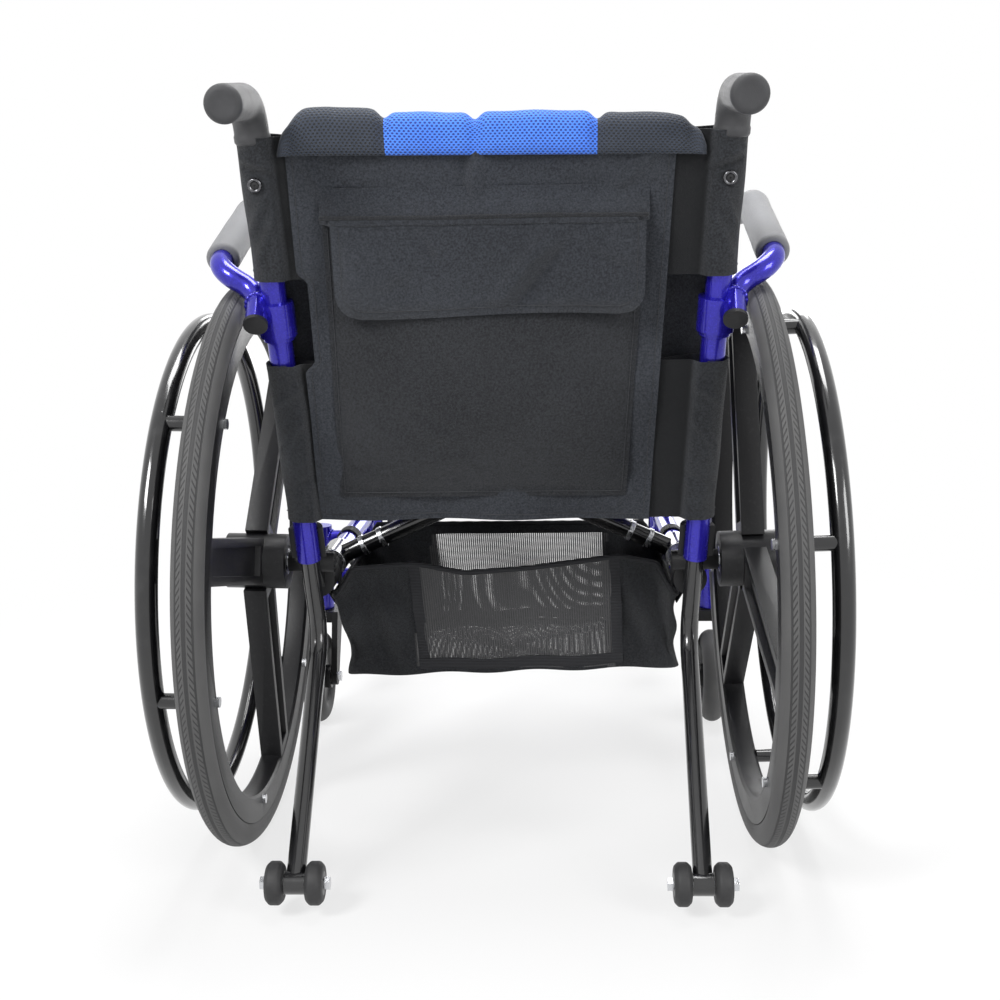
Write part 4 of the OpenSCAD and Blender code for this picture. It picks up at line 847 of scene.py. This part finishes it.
def spacer_mesh(name, hole_shade, dark, light):
    """Knitted mesh with staggered lens-shaped openings, which are painted much darker than the yarn: painted shade
    down in them.
    """
    cloth, at = finish(name, sheen_weight=0.15, sheen_roughness=0.4)
    across, along = on_cut(at)
    rows = []
    for shift in (0.0, 0.5):
        aside, up = (((way * (1 / pitch) + shift).maths("FRACT") - 0.5) * pitch
                     for way, pitch in ((across, 0.0048), (along, 0.0060)))
        rows.append((aside * aside + up * up * 1.6).maths("SQRT"))
    yarn = rows[0].maths("MINIMUM", rows[1]).rise(0.0009, 0.0017)
    cover(cloth, yarn.mix(hole_shade, noise(at, 30.0).mix(dark, light)), 0.60 + 0.2 * yarn,
          yarn + 0.3 * noise(at, 900.0), 0.0011)
    return cloth


black_mesh = spacer_mesh("black_spacer_mesh", (0.005, 0.006, 0.008), (0.026, 0.034, 0.052), (0.048, 0.061, 0.090))
blue_mesh = spacer_mesh("blue_spacer_mesh", (0.010, 0.040, 0.30), (0.058, 0.21, 0.96), (0.095, 0.30, 1.0))

cushion_half, cushion_thick = 0.201, 0.0098
cushion_seams = (-0.188, -0.0985, -0.0138, 0.0995, 0.188)
cushion_columns = (0, 29 / 112, 52 / 112, 84 / 112, 1)
crest_line = ((-0.201, 0.738), (-0.195, 0.750), (-0.186, 0.761), (-0.172, 0.767), (-0.150, 0.768), (-0.110, 0.7655),
              (-0.085, 0.7625), (-0.04, 0.761), (0.04, 0.7615), (0.085, 0.7605), (0.12, 0.759), (0.165, 0.7575),
              (0.180, 0.755), (0.192, 0.749), (0.201, 0.738))
outer_rows, inner_rows = 50, 40
rear_end, bend_end = 0.17, 0.40


def rounded(t):
    """A quarter circle that rises from 0 to 1."""
    return np.sqrt(np.clip(1 - (1 - np.clip(t, 0, 1)) ** 2, 0, 1))


def cushion_place(u, v):
    x = np.interp(u, cushion_columns, (-cushion_half, *cushion_seams[1:4], cushion_half))
    row = v * (outer_rows + inner_rows)
    outer = row < outer_rows
    t = np.where(outer, row / outer_rows, (outer_rows + inner_rows - row) / inner_rows)
    thick = cushion_thick * np.sqrt(np.maximum(0, 1 - np.abs(x / cushion_half) ** 24))
    for seam in cushion_seams:
        thick *= 1 - 0.55 * np.exp(-((x - seam) / 0.0060) ** 2)
    dip = 0.0024 * sum(np.exp(-((x - seam) / 0.005) ** 2) for seam in cushion_seams[1:-1])
    top = (np.interp(x, *np.transpose(crest_line)) - dip - 0.3109) / math.cos(lean) - 0.0136
    rear_foot = up_at(0.7270 - 0.018 * (x + cushion_half) * 0.6)
    front_foot = up_at(0.655 + 0.003 * np.sin(40 * x))
    turn = math.pi * (t - rear_end) / (bend_end - rear_end)
    rear, front = t < rear_end, t > bend_end
    way = np.where(rear, 1.0, np.where(front, -1.0, np.cos(turn)))
    rise = np.where(rear | front, 0.0, np.sin(turn))
    lap = 0.0040 - 0.0018 * way
    up = np.where(rear, rear_foot + (top - rear_foot) * t / rear_end,
                  np.where(front, top - (top - front_foot) * (t - bend_end) / (1 - bend_end), top)) + lap * rise
    swell = rounded(t / 0.10) * rounded((1 - t) / 0.06) * (1 + 0.05 * np.sin(120 * x + 9 * t))
    offset = np.where(outer, thick * swell, 0.0)
    return on_back(x, 0.0088 + (lap + offset) * way, up + rise * offset)


def cushion_held(points):
    """What is sewn down: the seams, and the inner face below the panel's top."""
    near_seam = np.min(np.abs(points[:, :1] - np.array(cushion_seams)), axis=1) < 0.003
    y, z = points[:, 1] - cane_low_y, points[:, 2] - cane_low_z
    up, behind = z * math.cos(lean) - y * math.sin(lean), -y * math.cos(lean) - z * math.sin(lean)
    return near_seam | ((np.abs(behind - 0.0070) < 0.0048) & (up < up_at(back_top)))


cushion = grid_piece("back_cushion_pad", 112, outer_rows + inner_rows, cushion_place, joined=True)
puffed(cushion, cushion_held, 4.0, 0.0035)
modify(cushion, "SUBSURF", levels=1, render_levels=1)
fitted(cushion, "frame_left", "cushion_mesh", black_mesh, blue_mesh, angle=180)
for face in cushion.data.polygons:
    face.material_index = int(cushion_seams[1] < face.center.x < cushion_seams[3])
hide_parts("back_cushion")
folds_flat(cushion)


# The pocket: a bellows of the canvas painted darker as shade, sewn to the panel along its sides and foot, with a
# sloped canvas welt across its top that carries the flap, and a line of piping, in the same darker canvas, along the
# welt's edge.
pocket_low, pocket_tall = 0.388, 0.280
pocket_folds = ((0.0024, -0.14, 0.41, -0.04, 0.43, 0.012), (0.0022, 0.13, 0.42, 0.06, 0.50, 0.012),
                (-0.0018, -0.02, 0.40, 0.07, 0.405, 0.010), (0.0020, -0.13, 0.56, -0.06, 0.46, 0.014),
                (-0.0016, 0.02, 0.57, 0.05, 0.47, 0.016))


def pocket_sides(z):
    share = (z - pocket_low) / pocket_tall
    return -0.165 + 0.002 * share, 0.131 + 0.016 * share


def pocket_place(u, v):
    z = pocket_low + pocket_tall * v
    left, right = pocket_sides(z)
    x = left + (right - left) * u
    rim = np.minimum(np.minimum(u, 1 - u) * 0.30, v * pocket_tall)
    belly = smooth(rim / 0.075) * (0.35 + 0.65 * smooth((1 - v) / 0.35)) + 0.18 * smooth(rim / 0.02)
    ripple = 0.0010 * np.sin(22 * x + 31 * up_at(z)) * smooth(rim / 0.05)
    return on_back(x, 0.0112 + 0.0105 * belly + folds(x, z, pocket_folds) + ripple, up_at(z))


def pocket_held(points):
    x, z = points[:, 0], points[:, 2]
    left, right = pocket_sides(z)
    return (x < left + 0.008) | (x > right - 0.008) | (z < 0.398) | (z > 0.655)


pocket = grid_piece("pocket_bellows", 80, 76, pocket_place)
puffed(pocket, pocket_held, 1.6, 0.0025)
hung(pocket, 0.0014, inward=-1.0)
fitted(pocket, "frame_left", "black_cloth", shaded_canvas)
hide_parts("back_pocket")
folds_flat(pocket)

rim_row = [(pocket_sides(z)[0] + 0.005, z) for z in np.linspace(0.660, 0.393, 50)]
rim_row += [(x, 0.3935) for x in np.linspace(-0.159, 0.125, 50)]
rim_row += [(pocket_sides(z)[1] - 0.005, z) for z in np.linspace(0.394, 0.660, 50)]
x, z = np.array(rim_row).T
left, right = pocket_sides(z)
route = np.stack(pocket_place((x - left) / (right - left), (z - pocket_low) / pocket_tall), 1) + (0, -0.0006, -0.0001)
folds_flat(stitched("pocket_stitch", route, "frame_left"))


def welt_place(u, v):
    x = -0.1645 + 0.3135 * u
    end = smooth(np.minimum(u, 1 - u) / 0.045)
    fall = np.clip(v / 0.72, 0, 1)
    turn = math.pi * np.clip((v - 0.72) / 0.28, 0, 1)
    up = up_at(0.6688) + 0.030 * (1 - fall) ** 1.3 - 0.0024 * np.sin(turn)
    proud = 0.0185 * smooth(fall) + 0.0016 * np.sin(turn / 2) - 0.002 * (1 - np.cos(turn))
    return on_back(x, 0.0102 + proud * (0.30 + 0.70 * end) + 0.0004 * np.sin(90 * x), up)


welt = grid_piece("pocket_welt", 90, 14, welt_place)
hung(welt, 0.0016)
fitted(welt, "frame_left", "black_cloth", canvas)
folds_flat(welt)

route = [on_back(x, 0.0272 + 0.0004 * math.sin(90 * x), up_at(0.6733) + 0.0004 * math.sin(31 * x))
         for x in np.linspace(-0.1635, 0.1480, 80)]
at, length = bent_path(route, 0)
piping_r = 0.0021
profile = [(0.0, 0.0001), (0.0004, 0.0014)] + [(length * k / 160, piping_r) for k in range(1, 160)]
profile += [(length - 0.0004, 0.0014), (length, 0.0001)]
piping = skin_over("pocket_piping", at, profile, 12, (0, 0, 1))
folds_flat(fitted(piping, "frame_left", "black_cloth", shaded_canvas))


# The flap: two layers of canvas with a light filling, hemmed round with its lower corners rounded,
# which hangs from the welt over the pocket's mouth and lifts on that sewn line.
flap_left, flap_right, flap_low, flap_top, flap_corner = -0.153, 0.1455, 0.580, 0.6675, 0.024
flap_folds = ((0.0062, 0.052, 0.655, 0.006, 0.598, 0.010), (-0.0040, 0.076, 0.650, 0.030, 0.596, 0.010),
              (-0.0046, -0.072, 0.664, -0.060, 0.636, 0.007), (0.0032, -0.09, 0.625, -0.15, 0.605, 0.011),
              (-0.0030, 0.09, 0.64, 0.14, 0.615, 0.009))


def flap_place(u, v):
    drop = (flap_top - flap_low) * v
    pull = flap_corner - np.sqrt(np.maximum(0, flap_corner ** 2 - np.maximum(0, flap_corner - drop) ** 2))
    left, right = flap_left + pull, flap_right - pull
    x = left + (right - left) * u
    z = flap_low + drop + 0.0025 * np.sin(19 * x + 0.6) * (1 - v)
    rim = np.minimum(np.minimum(x - flap_left, flap_right - x), drop)
    rows = (folds(x, z, flap_folds) + 0.0010 * np.sin(37 * x + 17 * up_at(z))) * smooth(rim / 0.02)
    hinge = smooth((flap_top - z) / 0.030)
    return on_back(x, 0.0278 + (0.0036 * smooth(rim / 0.016) + rows) * hinge, up_at(z))


def flap_held(points):
    x, z = points[:, 0], points[:, 2]
    return (x < flap_left + 0.012) | (x > flap_right - 0.012) | (z < flap_low + 0.004) | (z > flap_top - 0.024)


flap = grid_piece("flap_cloth", 90, 32, flap_place)
puffed(flap, flap_held, 2.2, 0.0025)
hung(flap, 0.0026, inward=-0.6)
fitted(flap, "flap", "black_cloth", canvas)
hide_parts("pocket_flap")
folds_flat(flap)

side_row = [(0.026, v) for v in np.linspace(0.96, 0.26, 20)]
side_row += [(0.026 + 0.05 * (1 - math.cos(turn)), 0.26 - 0.17 * math.sin(turn))
             for turn in np.linspace(0, math.pi / 2, 10)]
hem_row = side_row + [(u, 0.09) for u in np.linspace(0.09, 0.91, 50)] + [(1 - u, v) for u, v in side_row[::-1]]
route = np.stack(flap_place(*np.array(hem_row).T), 1) + (0, -0.0008, -0.0002)
folds_flat(stitched("flap_stitch", route, "flap"))


# The seat: one width of black canvas, painted darker as shade, drawn tight between the seat rails, with a deep hem
# round each rail; it sags a little in the middle from use.
sling_low, sling_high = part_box("seat_sling")
seat_hem, seat_r, seat_sag, seat_seam_x = 0.15, 0.0130, 0.012, 0.188


def sling_place(u, v):
    left, right = u < seat_hem, u > 1 - seat_hem
    run = np.where(left, u / seat_hem, np.where(right, (1 - u) / seat_hem, 0))
    turn = np.radians(-40 - 230 * run)
    span = np.clip((u - seat_hem) / (1 - 2 * seat_hem), 0, 1)
    hem_x = rail_x - seat_r * np.cos(turn)
    x = np.where(left, -hem_x, np.where(right, hem_x, rail_x * (2 * span - 1)))
    ripple = 0.0007 * np.sin(17 * v + 9 * span) + 0.0005 * np.sin(41 * v - 14 * span + 2)
    sag = seat_sag * (1 - (2 * span - 1) ** 2) + ripple * np.sin(math.pi * span)
    z = seat_rail_z + np.where(left | right, seat_r * np.sin(turn), seat_r - sag)
    return x, sling_low[1] + 0.002 + (sling_high[1] - sling_low[1] - 0.004) * v, z


sling = grid_piece("seat_cloth", 110, 70, sling_place)
hung(sling, 0.0022)
fitted(sling, "seat", "black_cloth", shaded_canvas)
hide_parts("seat_sling")
folds_flat(sling)
seam_z = seat_rail_z + seat_r - seat_sag * (1 - (seat_seam_x / rail_x) ** 2) + 0.0014
for name, side in SIDES:
    route = [(side * seat_seam_x, y, seam_z) for y in np.linspace(sling_low[1] + 0.006, sling_high[1] - 0.006, 40)]
    folds_flat(stitched("seat_stitch_" + name, route, "seat"))


# The bag: thin canvas, painted darker as shade, with fine net let in behind, in front and in its floor, bound round
# its mouth and along the net, and hung by webbing loops on the lower rails. It is empty and sags by its weight.
net, at = finish("bag_net")
net_pitch = 0.0029
weft, warp = (((way * (1 / net_pitch)).maths("FRACT") - 0.5).maths("ABSOLUTE") for way in on_cut(at))
cord = weft.maths("MAXIMUM", warp)
# Each cord is painted darker towards its edges and lighter along its middle: painted shade and painted highlight of a
# round cord.
cover(net, cord.rise(0.24, 0.48).mix((0.030, 0.030, 0.032), (0.075, 0.075, 0.078)),
      0.5 + 0.2 * noise(at, 300.0), Alpha=cord.rise(0.24, 0.28))

bag_half, bag_rear, bag_front, bag_corner = 0.195, -0.1145, 0.1075, 0.009
bag_mid, bag_deep, floor_share = (bag_rear + bag_front) / 2, (bag_front - bag_rear) / 2, 0.25
side_mouth, rear_mouth = 0.254, ((-0.18, 0.286), (-0.10, 0.2925), (-0.045, 0.2815), (0.03, 0.2870),
                                 (0.128, 0.3000), (0.18, 0.290))
net_left, net_right, tape_half = -0.102, 0.124, 0.006
outline = [(0.0, bag_rear)]
for way_x, way_y, start in ((1, -1, -90), (1, 1, 0), (-1, 1, 90), (-1, -1, 180)):
    outline += [(way_x * (bag_half - bag_corner) + bag_corner * math.cos(a),
                 bag_mid + way_y * (bag_deep - bag_corner) + bag_corner * math.sin(a))
                for a in np.radians(np.linspace(start, start + 90, 12))]
outline = np.array([*outline, (0.0, bag_rear)])
lengths = np.concatenate([[0], np.cumsum(np.linalg.norm(np.diff(outline, axis=0), axis=1))])
bag_round = lengths[-1]


def mouth_height(x, y):
    """The rim: high behind and in front, where it dips in the middle, and low at the sides."""
    behind, before = smooth((-y - 0.095) / 0.017), smooth((y - 0.088) / 0.017)
    inner = smooth((0.192 - np.abs(x)) / 0.022)
    rear = np.interp(x, *np.transpose(rear_mouth))
    return side_mouth + inner * (behind * (rear - side_mouth) + before * 0.042)


def bag_place(u, v):
    x, y = (np.interp(u * bag_round, lengths, axis) for axis in outline.T)
    out = np.clip(v / floor_share, 0, 1)
    rise = np.clip((v - floor_share) / (1 - floor_share), 0, 1)
    low = 0.160 + 0.010 * (x + bag_half) / (2 * bag_half) + 0.0015 * np.sin(61 * x)
    foot = 1 - 0.03 * (1 - rise)
    arch = np.sin(math.pi * rise)
    cloth = 1 - smooth((0.115 - np.abs(x - 0.011)) / 0.02)
    fold = arch * (0.0035 * cloth * np.sin(150 * x + 6 * rise) + 0.0030 * cloth * np.sin(88 * y + 9 * rise)
                   + 0.0016 * np.sin(43 * x + 4 * rise))
    side_wall = smooth((np.abs(x) - 0.183) / 0.010)
    return (x * foot * out + 0.008 * (1 - rise) + side_wall * np.sign(x) * (fold - 0.006 * arch),
            bag_mid + (y - bag_mid) * foot * out + (1 - side_wall) * np.sign(y - bag_mid) * (fold - 0.005 * arch),
            np.where(v <= floor_share, low - 0.003 * (1 - out ** 2), low + (mouth_height(x, y) - low) * rise))


bag = grid_piece("bag_shell", 260, 60, bag_place, joined=True)
bag.data.materials.append(shaded_canvas)
bag.data.materials.append(net)
for face in bag.data.polygons:
    x, y, z = face.center
    wall = abs(face.normal.y) > 0.6 and (y < bag_rear + 0.03 or y > bag_front - 0.03)
    wall_net = wall and 0.170 < z < (0.31 if y < 0 else 0.281)
    floor_net = abs(face.normal.z) > 0.6 and z < 0.19 and bag_rear + 0.016 < y < bag_front - 0.016
    face.material_index = int((floor_net or wall_net) and net_left < x < net_right)
hung(bag, 0.0012)
select_only(bag)
bpy.ops.object.shade_smooth_by_angle(angle=math.radians(60))
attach(bag, "frame_left")
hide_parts("under_seat_bag")
folds_flat(bag)

tape, at = finish("bag_tape", specular_ior_level=0.3)
rib = (at.part("Z") * 3600.0).maths("SINE")
# The colour follows the ribs: the troughs between them are painted darker, as painted shade.
cover(tape, rib.rise(-1, 1).mix((0.012, 0.012, 0.014), (0.032, 0.033, 0.037)),
      0.6 + 0.2 * noise(at, 500.0), rib, 0.0002)


def taped(name, u, v, facing):
    """A flat tape along a line on the bag's rear or front wall, standing a little off the cloth."""
    line = np.stack(bag_place(u, v), 1)
    out = np.array((0.0, facing, 0.0))
    wide = unit(np.cross(np.gradient(line, axis=0), out))

    def place(u, v):
        i = np.rint(v * (len(line) - 1)).astype(int)
        aside = (2 * u - 1)[:, None]
        return (line[i] + aside * tape_half * wide[i] + (0.0016 - 0.0006 * aside ** 2) * out).T

    piece = grid_piece(name, 6, len(line) - 1, place)
    hung(piece, 0.0012)
    folds_flat(fitted(piece, "frame_left", "bag_net", tape))


at, length = bent_path(np.stack(bag_place(np.linspace(0, 1, 121), np.full(121, 0.992)), 1), 0)
profile = [(length * k / 240, 0.0030 + 0.0002 * math.sin(k * 1.7)) for k in range(241)]
binding = skin_over("mouth_binding", at, profile, 8, (0, 0, 1))
folds_flat(fitted(binding, "frame_left", "bag_net", tape))

for word, facing, middle in (("rear", -1.0, 0.0), ("front", 1.0, 0.5)):
    for k, x in enumerate((net_left, net_right)):
        u = (middle - facing * x / bag_round) % 1
        taped(f"net_tape_{word}_{k}", np.full(40, u), np.linspace(0.30, 0.985, 40), facing)
    across = np.linspace(net_left - tape_half, net_right + tape_half, 60)
    taped(f"net_foot_{word}", (middle - facing * across / bag_round) % 1, np.full(60, 0.312), facing)

loop_r, loop_half, loop_start, loop_end = 0.0140, 0.012, math.radians(205), math.radians(-45)


def loop_place(side, middle_y):
    """How a loop lies: up from the bag, over the lower rail and down again."""
    def place(u, v):
        turn = loop_start + (loop_end - loop_start) * np.clip((u - 0.25) / 0.55, 0, 1)
        x, z = rail_x + loop_r * np.cos(turn), lower_rail_z + loop_r * np.sin(turn)
        up, down = 1 - np.clip(u / 0.25, 0, 1), np.clip((u - 0.80) / 0.20, 0, 1)
        x, z = x + (0.1925 - x) * up, z + (0.222 - z) * up
        x, z = x + (0.1965 - x) * down, z + (0.236 - z) * down
        return side * x, middle_y + loop_half * (2 * v - 1), z

    return place


for name, side in SIDES:
    for k, middle_y in enumerate((-0.068, 0.095)):
        loop = grid_piece(f"bag_loop_{k}_{name}", 60, 8, loop_place(side, middle_y))
        hung(loop, 0.0014)
        fitted(loop, "frame_" + name, "bag_net", tape)
